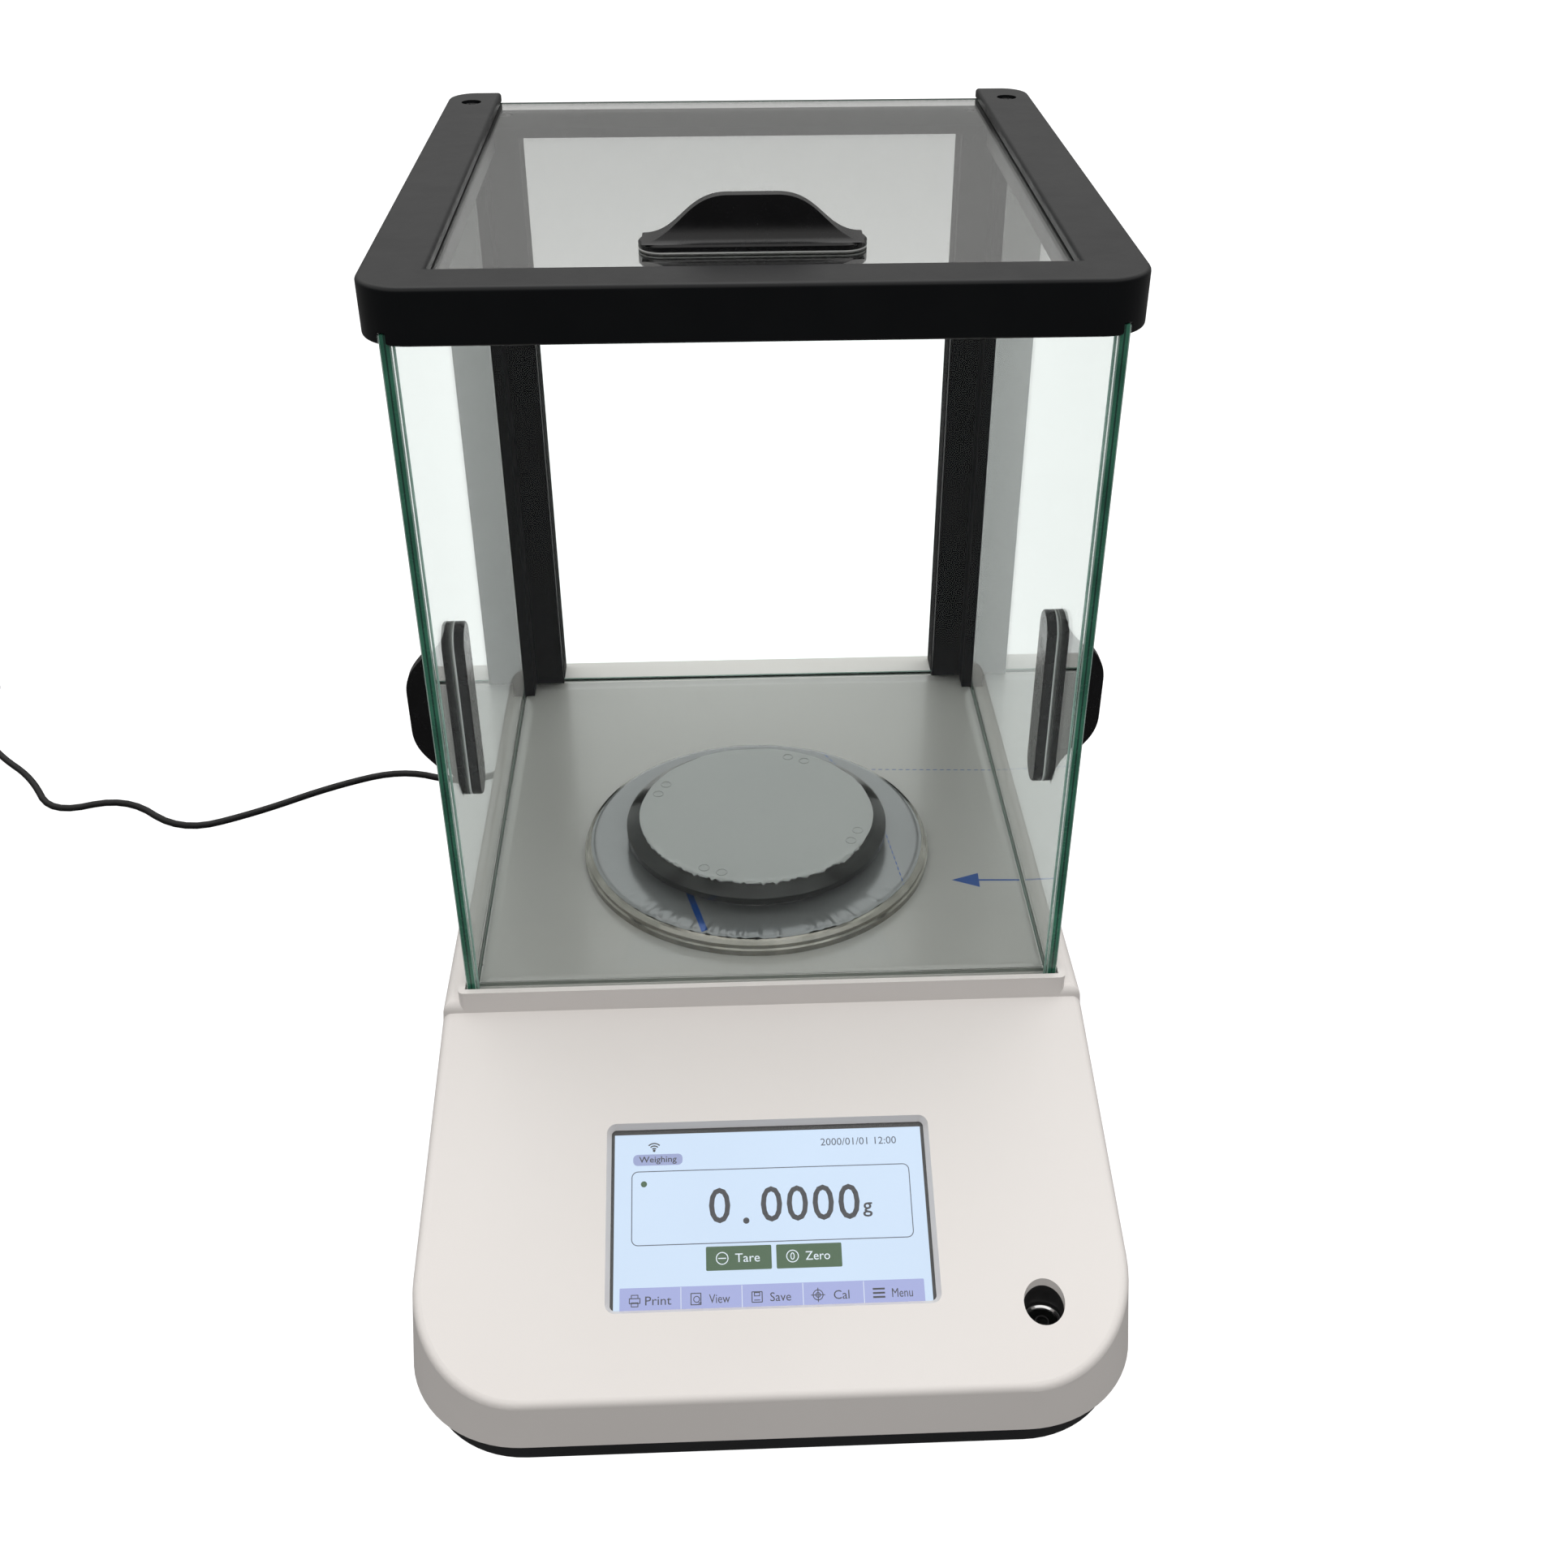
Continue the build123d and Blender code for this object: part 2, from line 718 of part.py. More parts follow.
def make_ring():
    low = floor_top
    top = floor_top + ring_height
    return turned(
        [
            (ring_inner, top - 1.2), (ring_inner + 0.8, top - 0.4), (ring_outer - 3.2, top),
            (ring_outer - ring_bead, top - 0.5), (ring_outer - 0.6, top - 1.6),
            (ring_outer - 0.6, top - 3.0), (ring_outer, top - 3.4), (ring_outer, low),
            (ring_outer - ring_sheet, low), (ring_outer - ring_sheet, top - 3.0),
            (ring_outer - 1.6, top - 1.8), (ring_outer - 3.4, top - 0.9),
            (ring_inner, top - 2.0),
        ],
        0, pan_y,
    )


def standoff_places():
    x = cell_width / 2 - standoff_inset
    ys = (cell_rear - cell_column / 2, cell_rear - cell_column - standoff_reach)
    return [(sx * x, y) for sx in (-1, 1) for y in ys]


def make_cell():
    half = cell_width / 2
    body = block(-half, half, cell_front, cell_rear, cell_bottom, cell_top)
    gap_front = cell_front + cell_column
    gap_rear = cell_rear - cell_column
    low = cell_bottom + cell_guide
    high = cell_top - cell_guide
    body -= block(-half, half, gap_front, gap_rear, low, high)
    for y in (gap_front + flexure_radius + 1.0, gap_rear - flexure_radius - 1.0):
        for z in (low - cell_guide + cell_flexure + flexure_radius,
                  high + cell_guide - cell_flexure - flexure_radius):
            body -= Pos(0, y, z) * Rot(0, 90, 0) * Cylinder(flexure_radius, cell_width)
    body += block(-half, half, gap_rear - 32.0, gap_rear + 1, cell_bottom, low + 8.0)
    for x, y in standoff_places():
        body -= rod(x, y, cell_bottom, cell_bottom + cell_thread, m5 + thread_clearance)
    return body


def make_magnet():
    """Cup magnet with a ring-shaped slot for the coil, standing on the tray."""
    top = tray_floor_top + magnet_height
    body = rod(0, magnet_y, tray_floor_top, top, magnet_radius)
    body = chamfer(body.edges().group_by(Axis.Z)[-1], 1.0)
    slot = rod(0, magnet_y, top - coil_height, top, coil_radius + coil_slot)
    slot -= rod(0, magnet_y, top - coil_height, top, coil_radius - coil_sheet - coil_slot)
    return body - slot


def make_coil():
    """Coil former, hung from the lever into the magnet's slot."""
    top = tray_floor_top + magnet_height + 6.0
    body = rod(0, magnet_y, top - coil_height - 2.0, top, coil_radius)
    return body - rod(0, magnet_y, top - coil_height - 2.0, top - 2.0, coil_radius - coil_sheet)


def make_lever():
    low = tray_floor_top + magnet_height + 6.0
    half = lever_width / 2
    high = cell_top + lever_thickness
    body = block(
        -half, half, cell_rear - cell_column, magnet_y + coil_radius, cell_top, high
    )
    body += rod(0, magnet_y, low, cell_top + 1.0, lever_thickness)
    return body


def make_standoffs():
    pillars = []
    for x, y in standoff_places():
        pillar = rod(x, y, tray_floor_top, cell_bottom, standoff_radius)
        pillars.append(pillar - rod(x, y, tray_floor_top, cell_bottom, m5 + screw_fit))
    return joined(pillars)


# Screen

def make_touch_glass():
    outline = Rectangle(screen_width + 2 * glass_margin, screen_height + 2 * glass_margin)
    sheet = extrude(fillet(outline.vertices(), 1.5), -touch_thickness)
    return screen_plane.offset(-panel_wall) * sheet


def make_module():
    outline = Rectangle(screen_width + 2 * glass_margin, screen_height + 2 * glass_margin)
    return screen_plane.offset(-panel_wall - touch_thickness) * extrude(outline, -module_thickness)


def make_screen_board():
    depth = panel_wall + touch_thickness + module_thickness
    width = screen_width + 2 * board_margin + 8.0
    height = screen_height + 2 * board_margin
    board = extrude(Rectangle(width, height), -board_thickness)
    for x, y in screen_boss_places():
        board -= rod(x, y, -board_thickness, 0, m3 + screw_fit)
    return screen_plane.offset(-depth) * board


def make_screen_screws():
    depth = panel_wall + touch_thickness + module_thickness + board_thickness
    plane = screen_plane.offset(-depth)
    return joined([plane * upturned(x, y, 0, 5.0, m3, 2.0) for x, y in screen_boss_places()])


# Spirit level

def make_level():
    y = front + level_back
    drop = panel_wall / math.cos(math.radians(panel_angle))
    outer = level_radius + level_wall
    tube = rod(level_x, y, level_bottom, platform, outer)
    tube -= above_panel(drop, panel_run)
    tube -= rod(level_x, y, level_bottom + vial_base, platform, level_radius)
    save("level_tube", tube)
    floor = level_bottom + vial_base
    ring = rod(level_x, y, floor, level_top, level_radius - thread_clearance)
    ring -= rod(level_x, y, floor, level_top, vial_radius)
    ring = chamfer(ring.edges().group_by(Axis.Z)[-1], 0.5)
    save("level_ring", ring)
    vial = rod(level_x, y, floor, level_top - 0.8, vial_radius)
    save("level_vial", vial)


# Rear sockets and boards

def make_port_plate():
    half = port_width / 2
    plate = block(
        port_x - half, port_x + half, port_y - port_thickness, port_y,
        tray_floor_top, housing_bottom + port_height,
    )
    low = port_y - port_thickness - 1
    plate -= flat_rod(inlet_x, socket_height, low, port_y + 1, inlet_radius + thread_clearance)
    opening = serial_shape(serial_width - 12.0, serial_height - 2.0)
    return plate - port_face(serial_x, low) * extrude(opening, port_thickness + 2)


def flat_rod(x, z, y0, y1, radius):
    """Cylinder that lies along Y."""
    return Pos(x, (y0 + y1) / 2, z) * Rot(90, 0, 0) * Cylinder(radius, y1 - y0)


def port_face(x, y):
    return Plane(origin=(x, y, socket_height), x_dir=(-1, 0, 0), z_dir=(0, 1, 0))


def serial_shape(width, height):
    """Outline of a D-shaped connector."""
    half = width / 2
    step = 1.4
    points = [(-half, height / 2), (half, height / 2), (half - step, -height / 2),
              (-half + step, -height / 2)]
    shape = make_face(Polyline(*points, close=True))
    return fillet(shape.vertices(), 1.6)


def make_inlet():
    y = port_y
    body = flat_rod(inlet_x, socket_height, y - inlet_depth, y + 1.2, inlet_radius)
    body += flat_rod(inlet_x, socket_height, y, y + 1.2, inlet_radius + 1.4)
    body -= flat_rod(inlet_x, socket_height, y - inlet_depth + 1.5, y + 1.2, inlet_bore)
    pin = flat_rod(inlet_x, socket_height, y - inlet_depth + 1.0, y - 1.5, 0.95)
    return body + pin


def make_serial():
    back = port_y - 9.0
    face = port_face(serial_x, port_y)
    flange = face * extrude(fillet(Rectangle(serial_width, serial_height).vertices(), 1.5), 1.0)
    shell = face * extrude(serial_shape(serial_width - 13.0, serial_height - 3.0), serial_rise)
    body = port_face(serial_x, back) * extrude(
        serial_shape(serial_width - 13.0, serial_height - 3.0), 9.5
    )
    part = flange + shell + body
    part -= face * Pos(0, 0, serial_rise - 4.0) * extrude(
        serial_shape(serial_width - 14.6, serial_height - 4.6), 5.0
    )
    for row, count in ((1.4, 5), (-1.4, 4)):
        for index in range(count):
            x = (index - (count - 1) / 2) * 2.76
            pin = Pos(x, row, serial_rise - 2.6) * Cylinder(0.5, 3.2)
            part += face * pin
    for side in (-1, 1):
        nut = RegularPolygon(2.6, 6)
        part += face * Pos(side * (serial_width / 2 - 3.0), 0, 0.5) * extrude(nut, 4.5)
    return part


def board_post_places():
    x = -main_board_width / 2 - cell_width / 2 - 8.0
    y = front + main_board_back + main_board_length / 2
    half_x = main_board_width / 2 - 5.0
    half_y = main_board_length / 2 - 5.0
    return [(x + sx * half_x, y + sy * half_y) for sx in (-1, 1) for sy in (-1, 1)]


def make_main_board():
    low = tray_floor_top + 4.5
    high = low + board_thickness
    places = board_post_places()
    xs = [x for x, _ in places]
    ys = [y for _, y in places]
    x0, x1 = min(xs) - 5, max(xs) + 5
    y0, y1 = min(ys) - 5, max(ys) + 5
    board = block(x0, x1, y0, y1, low, high)
    chip = block(x0 + 16, x0 + 30, y0 + 34, y0 + 48, high - 0.1, high + 1.6)
    header = block(x0 + 14, x1 - 14, y1 - 14, y1 - 6, high - 0.1, high + 8.0)
    socket = block(x1 - 14, x1 - 8, y0 + 20, y0 + 56, high - 0.1, high + 6.0)
    board += chip + header + socket
    for x in (x0 + 12, x0 + 26):
        board += rod(x, y0 + 14, high - 0.1, high + 11.0, 4.0)
    return board


# Screws

def make_frame_screws():
    """Identical screws: rails to crossbar, and crossbar to posts."""
    rail_seat = rail_top - head_sink
    length = rail_seat - crossbar_bottom
    screws = [screw(*frame_screw_place(side), rail_seat, length, m3, 1.6) for side in (-1, 1)]
    bar_seat = crossbar_top - bar_sink
    for side in (-1, 1):
        screws.append(screw(side * post_screw_x, post_screw_y, bar_seat, length, m3, 1.6))
    return joined(screws)


def make_post_screws():
    seat = platform - top_wall
    places = [(side * post_screw_x, post_screw_y) for side in (-1, 1)]
    return joined([upturned(x, y, seat, 16.0, m4, 2.6) for x, y in places])


def make_tray_screws():
    seat = tray_bottom + head_sink
    return joined([upturned(x, y, seat, 18.0, m3, 1.8) for x, y in tray_screw_places()])


def make_cell_screws():
    return joined([upturned(x, y, tray_bottom, 19.0, m5, 2.4) for x, y in standoff_places()])


# Power lead

def make_plug():
    start = port_y - inlet_depth + 3.0
    grip = port_y + 1.4
    end = grip + plug_grip_length
    plug = flat_rod(inlet_x, socket_height, start, grip + 1, plug_barrel)
    plug -= flat_rod(inlet_x, socket_height, start, port_y - 1.0, 1.15)
    body = flat_rod(inlet_x, socket_height, grip, end, plug_grip)
    body = chamfer(body.edges(), 0.7)
    mouth = lead_points[0][1]
    tip = lead_radius + relief_wall
    length = mouth - end
    relief = Pos(inlet_x, (end + mouth) / 2, socket_height) * Rot(-90, 0, 0) * Cone(
        relief_base, tip, length
    )
    step = length / (relief_grooves + 1)
    for index in range(relief_grooves):
        y = end + step * (index + 0.6)
        radius = relief_base + (tip - relief_base) * (y - end) / length
        groove = flat_rod(inlet_x, socket_height, y, y + step * 0.45, relief_base)
        relief -= groove - flat_rod(inlet_x, socket_height, y, y + step * 0.45, radius - groove_depth)
    hole = flat_rod(inlet_x, socket_height, mouth - lead_grip, mouth, lead_radius)
    return plug + body + relief - hole


def lead_radii(points):
    """Bend radius at each inner point: tangent arcs that fill most of the shorter run."""
    radii = []
    for before, here, after in zip(points, points[1:], points[2:]):
        one = Vector(*here) - Vector(*before)
        two = Vector(*after) - Vector(*here)
        turn = math.radians(one.get_angle(two))
        radii.append(0.45 * min(one.length, two.length) / math.tan(turn / 2))
    return radii


def make_lead():
    points = list(lead_points)
    points[0] = (inlet_x, points[0][1] - lead_grip, socket_height)
    path = FilletPolyline(*points, radius=lead_radii(points))
    start = Plane(origin=path @ 0, z_dir=path % 0)
    return sweep(start * Circle(lead_radius), path), path


def make_coil_of_lead():
    """Closed ring that holds the turns of the coiled lead."""
    x, y = coil_centre
    width = (coil_columns + 0.1) * 2 * lead_radius
    height = coil_height_turns * 2 * lead_radius
    low = lead_rest - lead_radius
    ring = rod(x, y, low, low + height, coil_inner + width)
    ring -= rod(x, y, low, low + height, coil_inner)
    return fillet(ring.edges(), lead_radius * 0.9)


def tail_points():
    """From the side of the coil up to the adapter's neck."""
    x, middle = adapter_centre
    end = middle + adapter_size[1] / 2 + adapter_neck
    low = lead_rest + 2 * lead_radius
    high = adapter_size[2] / 2
    start = coil_centre[1] - 12.0
    return [(x, start, low), (x, start - 10.4, low), (x, end + 8.0, high), (x, end - lead_grip, high)]


def make_tail():
    points = tail_points()
    path = FilletPolyline(*points, radius=lead_radii(points))
    start = Plane(origin=path @ 0, z_dir=path % 0)
    return sweep(start * Circle(lead_radius), path)


def make_adapter():
    wide, long, tall = adapter_size
    x, y = adapter_centre
    case = block(x - wide / 2, x + wide / 2, y - long / 2, y + long / 2, 0, tall)
    case = fillet(case.edges(), 3.0)
    high = y + long / 2
    case += flat_rod(x, tall / 2, high - 1, high + adapter_neck, lead_radius + 1.2)
    mouth = high + adapter_neck
    case -= flat_rod(x, tall / 2, mouth - lead_grip, mouth, lead_radius)
    for side in (-1, 1):
        pin_x = x + side * pin_spacing / 2
        thick, broad, reach = pin_size
        pin = block(
            pin_x - thick / 2, pin_x + thick / 2, y - long / 2 - reach, y - long / 2 + 1,
            tall / 2 - broad / 2, tall / 2 + broad / 2,
        )
        case += pin
    return case


def main():
    os.makedirs("parts", exist_ok=True)
    save("top_housing", make_housing())
    save("bottom_tray", make_tray())
    make_feet()
    save("floor_plate", make_floor())
    save("door_tracks", make_tracks())
    save("top_frame", make_frame())
    post = make_post()
    save("rear_post_right", post)
    save("rear_post_left", mirrored(post))
    save("rear_crossbar", make_crossbar())
    half = door_inner - glass_gap
    top = rail_bottom + front_pane_bite
    save("front_glass", block(-half, half, pane_front, pane_back, platform, top))
    half = floor_half - post_width + post_slot - 0.4
    rear_pane_back = rear_pane_front + glass
    save("rear_glass", block(-half, half, rear_pane_front, rear_pane_back, pad_top, crossbar_bottom))
    make_doors()
    save("draft_ring", make_ring())
    save("weighing_pan", make_pan())
    save("pan_spider", make_spider())
    save("pan_spindle", make_spindle())
    save("cell_block", make_cell())
    save("cell_magnet", make_magnet())
    save("cell_coil", make_coil())
    save("cell_lever", make_lever())
    save("cell_standoffs", make_standoffs())
    save("touch_glass", make_touch_glass())
    save("screen_module", make_module())
    save("screen_board", make_screen_board())
    make_level()
    save("port_plate", make_port_plate())
    save("power_inlet", make_inlet())
    save("serial_port", make_serial())
    save("main_board", make_main_board())
    save("screen_screws", make_screen_screws())
    save("frame_screws", make_frame_screws())
    save("post_screws", make_post_screws())
    save("tray_screws", make_tray_screws())
    save("cell_screws", make_cell_screws())
    save("lead_plug", make_plug())
    lead, path = make_lead()
    save("lead_tube", lead)
    save("lead_coil", make_coil_of_lead())
    save("lead_tail", make_tail())
    save("lead_adapter", make_adapter())
    print("lead radii", [round(r, 1) for r in lead_radii(lead_points)])
    section = math.pi * lead_radius ** 2
    print("lead run", round(path.length, 1), "tube volume / section", round(lead.volume / section, 1))


if __name__ == "__main__":
    main()
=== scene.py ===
import bpy
import bmesh
import math
from mathutils import Matrix, Vector, noise


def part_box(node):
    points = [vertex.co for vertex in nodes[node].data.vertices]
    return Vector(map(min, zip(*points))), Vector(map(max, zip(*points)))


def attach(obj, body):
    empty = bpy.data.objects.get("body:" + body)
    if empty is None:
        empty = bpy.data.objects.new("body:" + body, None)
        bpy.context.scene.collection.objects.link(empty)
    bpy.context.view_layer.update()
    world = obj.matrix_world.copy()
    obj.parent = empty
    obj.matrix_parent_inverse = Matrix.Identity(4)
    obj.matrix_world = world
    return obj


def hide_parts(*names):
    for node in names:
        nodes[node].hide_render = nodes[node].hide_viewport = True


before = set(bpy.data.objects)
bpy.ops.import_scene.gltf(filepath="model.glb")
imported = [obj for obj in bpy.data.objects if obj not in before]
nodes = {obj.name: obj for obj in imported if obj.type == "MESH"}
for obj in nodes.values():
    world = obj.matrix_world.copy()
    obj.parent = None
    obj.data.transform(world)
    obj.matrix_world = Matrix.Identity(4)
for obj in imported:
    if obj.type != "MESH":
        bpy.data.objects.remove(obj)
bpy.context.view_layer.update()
mm = 0.001
print("frame loaded:", len(nodes), "nodes")


# Shader maths: a Wire is one output in a tree, and the operators on it add Math nodes
class Wire:
    def __init__(self, shades, socket):
        self.shades = shades
        self.socket = socket

    def maths(self, operation, first, second=0.0):
        return self.shades.node("Math", {"operation": operation}, {0: first, 1: second})

    def through(self, operation, second=0.0):
        return self.maths(operation, self, second)

    def __add__(self, other):
        return self.maths("ADD", self, other)

    def __radd__(self, other):
        return self.maths("ADD", other, self)

    def __sub__(self, other):
        return self.maths("SUBTRACT", self, other)

    def __rsub__(self, other):
        return self.maths("SUBTRACT", other, self)

    def __mul__(self, other):
        return self.maths("MULTIPLY", self, other)

    def __rmul__(self, other):
        return self.maths("MULTIPLY", other, self)

    def __truediv__(self, other):
        return self.maths("DIVIDE", self, other)

    def __rtruediv__(self, other):
        return self.maths("DIVIDE", other, self)

    def __pow__(self, other):
        return self.maths("POWER", self, other)

    def __rpow__(self, other):
        return self.maths("POWER", other, self)

    def __lt__(self, other):
        return self.maths("LESS_THAN", self, other)

    def __gt__(self, other):
        return self.maths("GREATER_THAN", self, other)

    def __abs__(self):
        return self.maths("ABSOLUTE", self)


class Shades:
    def __init__(self, tree):
        self.tree = tree

    def fill(self, node, sockets):
        for key, value in sockets.items():
            if isinstance(value, Wire):
                self.tree.links.new(value.socket, node.inputs[key])
            else:
                node.inputs[key].default_value = value

    def node(self, kind, settings=None, sockets=None, output=0):
        made = self.tree.nodes.new("ShaderNode" + kind)
        for key, value in (settings or {}).items():
            setattr(made, key, value)
        self.fill(made, sockets or {})
        return Wire(self, made.outputs[output])

    def here(self):
        return self.node("TexCoord", output="Object")

    def axes(self, vector=None):
        split = self.node("SeparateXYZ", {}, {0: vector or self.here()}).socket.node
        return [Wire(self, split.outputs[index]) for index in range(3)]

    def stretched(self, x, y, z):
        return self.node("Mapping", {}, {"Vector": self.here(), "Scale": (x, y, z)})

    def noise(self, scale, detail=2.0, at=None):
        sockets = {"Vector": at or self.here(), "Scale": scale, "Detail": detail}
        return self.node("TexNoise", {}, sockets)

    def band(self, value, low, high, start=0.0, end=1.0):
        sockets = {0: value, 1: low, 2: high, 3: start, 4: end}
        return self.node("MapRange", {"clamp": True}, sockets)

    def mix(self, share, first, second):
        sockets = {0: share, 6: shade(first), 7: shade(second)}
        return self.node("Mix", {"data_type": "RGBA"}, sockets, output=2)

    def bump(self, height, strength=0.3, distance=0.0001, under=None):
        sockets = {"Height": height, "Strength": strength, "Distance": distance}
        if under:
            sockets["Normal"] = under
        return self.node("Bump", {}, sockets)

    def fromAxis(self, x, y):
        # distance from an upright axis
        east, north = self.axes()[:2]
        east, north = east - x, north - y
        return (east * east + north * north) ** 0.5

    def stroke(self, start, end, width):
        # 1 inside a straight printed line, then the distances along it and across it
        (x0, y0), (x1, y1) = start, end
        length = math.dist(start, end)
        dx, dy = (x1 - x0) / length, (y1 - y0) / length
        x, y = self.axes()[:2]
        x, y = x - x0, y - y0
        along = x * dx + y * dy
        across = abs(y * dx - x * dy)
        return (along > 0.0) * (along < length) * (across < width / 2), along, across


class Finish(Shades):
    def __init__(self, name, **constants):
        self.material = bpy.data.materials.new(name)
        self.material.use_nodes = True
        super().__init__(self.material.node_tree)
        self.tree.nodes.clear()
        self.shader = self.tree.nodes.new("ShaderNodeBsdfPrincipled")
        self.output = self.tree.nodes.new("ShaderNodeOutputMaterial")
        self.tree.links.new(self.shader.outputs[0], self.output.inputs[0])
        self.drive(**constants)

    def drive(self, **sockets):
        self.fill(self.shader, {key.replace("_", " "): value for key, value in sockets.items()})
        return self.material


def shade(value):
    return value if isinstance(value, Wire) else (*value, 1.0)[:4]


# Camera and light
viewpoint = {
    "place": (-0.010771, -0.47126, 0.457205), "dip": 34.067, "turn": 2.4, "lens": 38.966, "near": 0.01,
    "far": 60.0,
}
studio = {
    "sky": 1.28, "skyTint": (1.0, 0.985, 0.965), "dimBack": 0.28, "dimFront": 0.10,
    "frontToBack": (-0.5, 0.5), "horizonToTop": (0.22, 0.62),
    "floor": 0.12, "floorSize": 14.0, "glow": 1.08, "dimGlow": 0.0,
    "overhead": {"place": (0.1, 0.3, 1.5), "aim": (0, 0, 0.1), "size": (1.4, 1.0), "power": 6.0},
}


def makeCamera():
    data = bpy.data.cameras.new("viewpoint")
    data.lens = viewpoint["lens"]
    data.clip_start = viewpoint["near"]
    data.clip_end = viewpoint["far"]
    camera = bpy.data.objects.new("viewpoint", data)
    camera.location = viewpoint["place"]
    tilt = math.radians(90 - viewpoint["dip"])
    camera.rotation_euler = (tilt, 0, math.radians(-viewpoint["turn"]))
    bpy.context.scene.collection.objects.link(camera)
    bpy.context.scene.camera = camera


def makeSoftbox(name, place, aim, size, power):
    data = bpy.data.lights.new(name, "AREA")
    data.shape = "RECTANGLE"
    data.size, data.size_y = size
    data.energy = power
    box = bpy.data.objects.new(name, data)
    box.location = place
    box.rotation_euler = (Vector(aim) - Vector(place)).to_track_quat("-Z", "Y").to_euler()
    bpy.context.scene.collection.objects.link(box)


def straightLook(shades):
    # 1 where the background is looked at straight or through glass, 0 where it lights or is mirrored
    direct = shades.node("LightPath", output="Is Camera Ray")
    return direct.through("MAXIMUM", shades.node("LightPath", output="Is Transmission Ray"))


def makeSky():
    # bright overhead, dim towards the horizon and most in front, as in a room with its light above
    world = bpy.data.worlds.new("studioSky")
    world.use_nodes = True
    bpy.context.scene.world = world
    sky = Shades(world.node_tree)
    y, z = sky.axes(sky.node("TexCoord", output="Generated"))[1:]
    front, back = studio["dimFront"], studio["dimBack"]
    light = tuple(studio["sky"] * share for share in studio["skyTint"])
    low = sky.mix(sky.band(y, *studio["frontToBack"]), (front,) * 3, (back, back, back * 0.98))
    tint = sky.mix(sky.band(z, *studio["horizonToTop"]), low, light)
    plain = sky.mix(straightLook(sky), tint, (1, 1, 1))
    sky.fill(world.node_tree.nodes["Background"], {0: plain, 1: 1.0})


def makeFloor():
    mesh = bpy.data.meshes.new("floor")
    half = studio["floorSize"] / 2
    corners = [(-half, -half, 0), (half, -half, 0), (half, half, 0), (-half, half, 0)]
    mesh.from_pydata(corners, [], [(0, 1, 2, 3)])
    floor = bpy.data.objects.new("floor", mesh)
    bpy.context.scene.collection.objects.link(floor)
    # the floor looks lit from below, and casts little of that light on the object
    finish = Finish("paleFloor", Roughness=0.9, Specular_IOR_Level=0.1, Emission_Strength=1.0)
    glow = finish.mix(straightLook(finish), (studio["dimGlow"],) * 3, (studio["glow"],) * 3)
    finish.drive(Base_Color=shade((studio["floor"],) * 3), Emission_Color=glow)
    mesh.materials.append(finish.material)


makeCamera()
makeSky()
makeFloor()
makeSoftbox("overhead", **studio["overhead"])
bpy.context.scene.view_settings.view_transform = "Standard"
print("camera and studio made")


# Finishes of moulded, coated and turned pieces
def coated(name, dark, light, rough, grain=1800, depth=0.00004, strength=0.2, broad=25, **constants):
    finish = Finish(name, **constants)
    fine = finish.noise(grain, 2)
    clouds = finish.noise(broad, 3)
    return finish.drive(
        Base_Color=finish.mix(finish.band(clouds, 0.3, 0.7), dark, light),
        Roughness=finish.band(finish.noise(broad * 4, 3), 0.3, 0.7, *rough),
        Normal=finish.bump(fine, strength, depth),
    )


def drawn(name, dark, light, rough, stretch, metal=1.0, lines=1.0, depth=0.00002, **constants):
    # lines run along the axis that has the smallest stretch
    finish = Finish(name, Metallic=metal, **constants)
    streaks = finish.noise(lines, 4, finish.stretched(*stretch))
    return finish.drive(
        Base_Color=finish.mix(finish.band(streaks, 0.3, 0.7), dark, light),
        Roughness=finish.band(streaks, 0.25, 0.75, *rough),
        Normal=finish.bump(streaks, 0.3, depth),
    )


def turnedMetal(name, centre, dark, light, rough, pitch=0.00035, depth=0.00002):
    finish = Finish(name, Metallic=1.0)
    rings = (finish.fromAxis(*centre) * (math.tau / pitch)).through("SINE")
    clouds = finish.noise(120, 4)
    return finish.drive(
        Base_Color=finish.mix(finish.band(clouds, 0.3, 0.7), dark, light),
        Roughness=finish.band(clouds, 0.3, 0.7, *rough),
        Normal=finish.bump(rings + clouds * 2, 0.12, depth),
    )


def clearFinish(name, tint, other, rough=0.012, ior=1.5):
    # clear body with faint wiping marks; shadows pass through it
    finish = Finish(name, Transmission_Weight=1.0, IOR=ior)
    wiped = finish.noise(14, 5, finish.stretched(1, 1, 2.5))
    finish.drive(
        Base_Color=finish.mix(wiped, tint, other),
        Roughness=finish.band(wiped, 0.52, 0.8, 0.0, rough),
    )
    passing = finish.node("BsdfTransparent", {}, {0: shade(tint)})
    shadow = finish.node("LightPath", output="Is Shadow Ray")
    both = finish.node("MixShader", {}, {0: shadow, 1: Wire(finish, finish.shader.outputs[0]), 2: passing})
    finish.tree.links.new(both.socket, finish.output.inputs[0])
    return finish.material


winding = {"pitch": 0.0006, "grooveShade": (0.20, 0.07, 0.025), "wire": (0.62, 0.28, 0.12), "rough": (0.25, 0.4)}


def windings():
    finish = Finish("enamelledWire", Metallic=0.9)
    turns = (finish.axes()[2] * (math.tau / winding["pitch"])).through("SINE")
    fine = finish.noise(300, 3)
    # the dark half of each turn's sine is painted shade in the grooves between the wires
    return finish.drive(
        Base_Color=finish.mix(finish.band(turns, -1, 1), winding["grooveShade"], winding["wire"]),
        Roughness=finish.band(fine, 0.3, 0.7, *winding["rough"]), Normal=finish.bump(turns, 0.8, 0.0002),
    )


circuit = {
    "pads": 260.0, "padSize": 0.12, "padTone": (0.55, 0.50, 0.36), "tracks": 90.0, "trackWidth": 0.03,
    "mask": (0.008, 0.060, 0.026), "trackTone": (0.020, 0.130, 0.055),
}


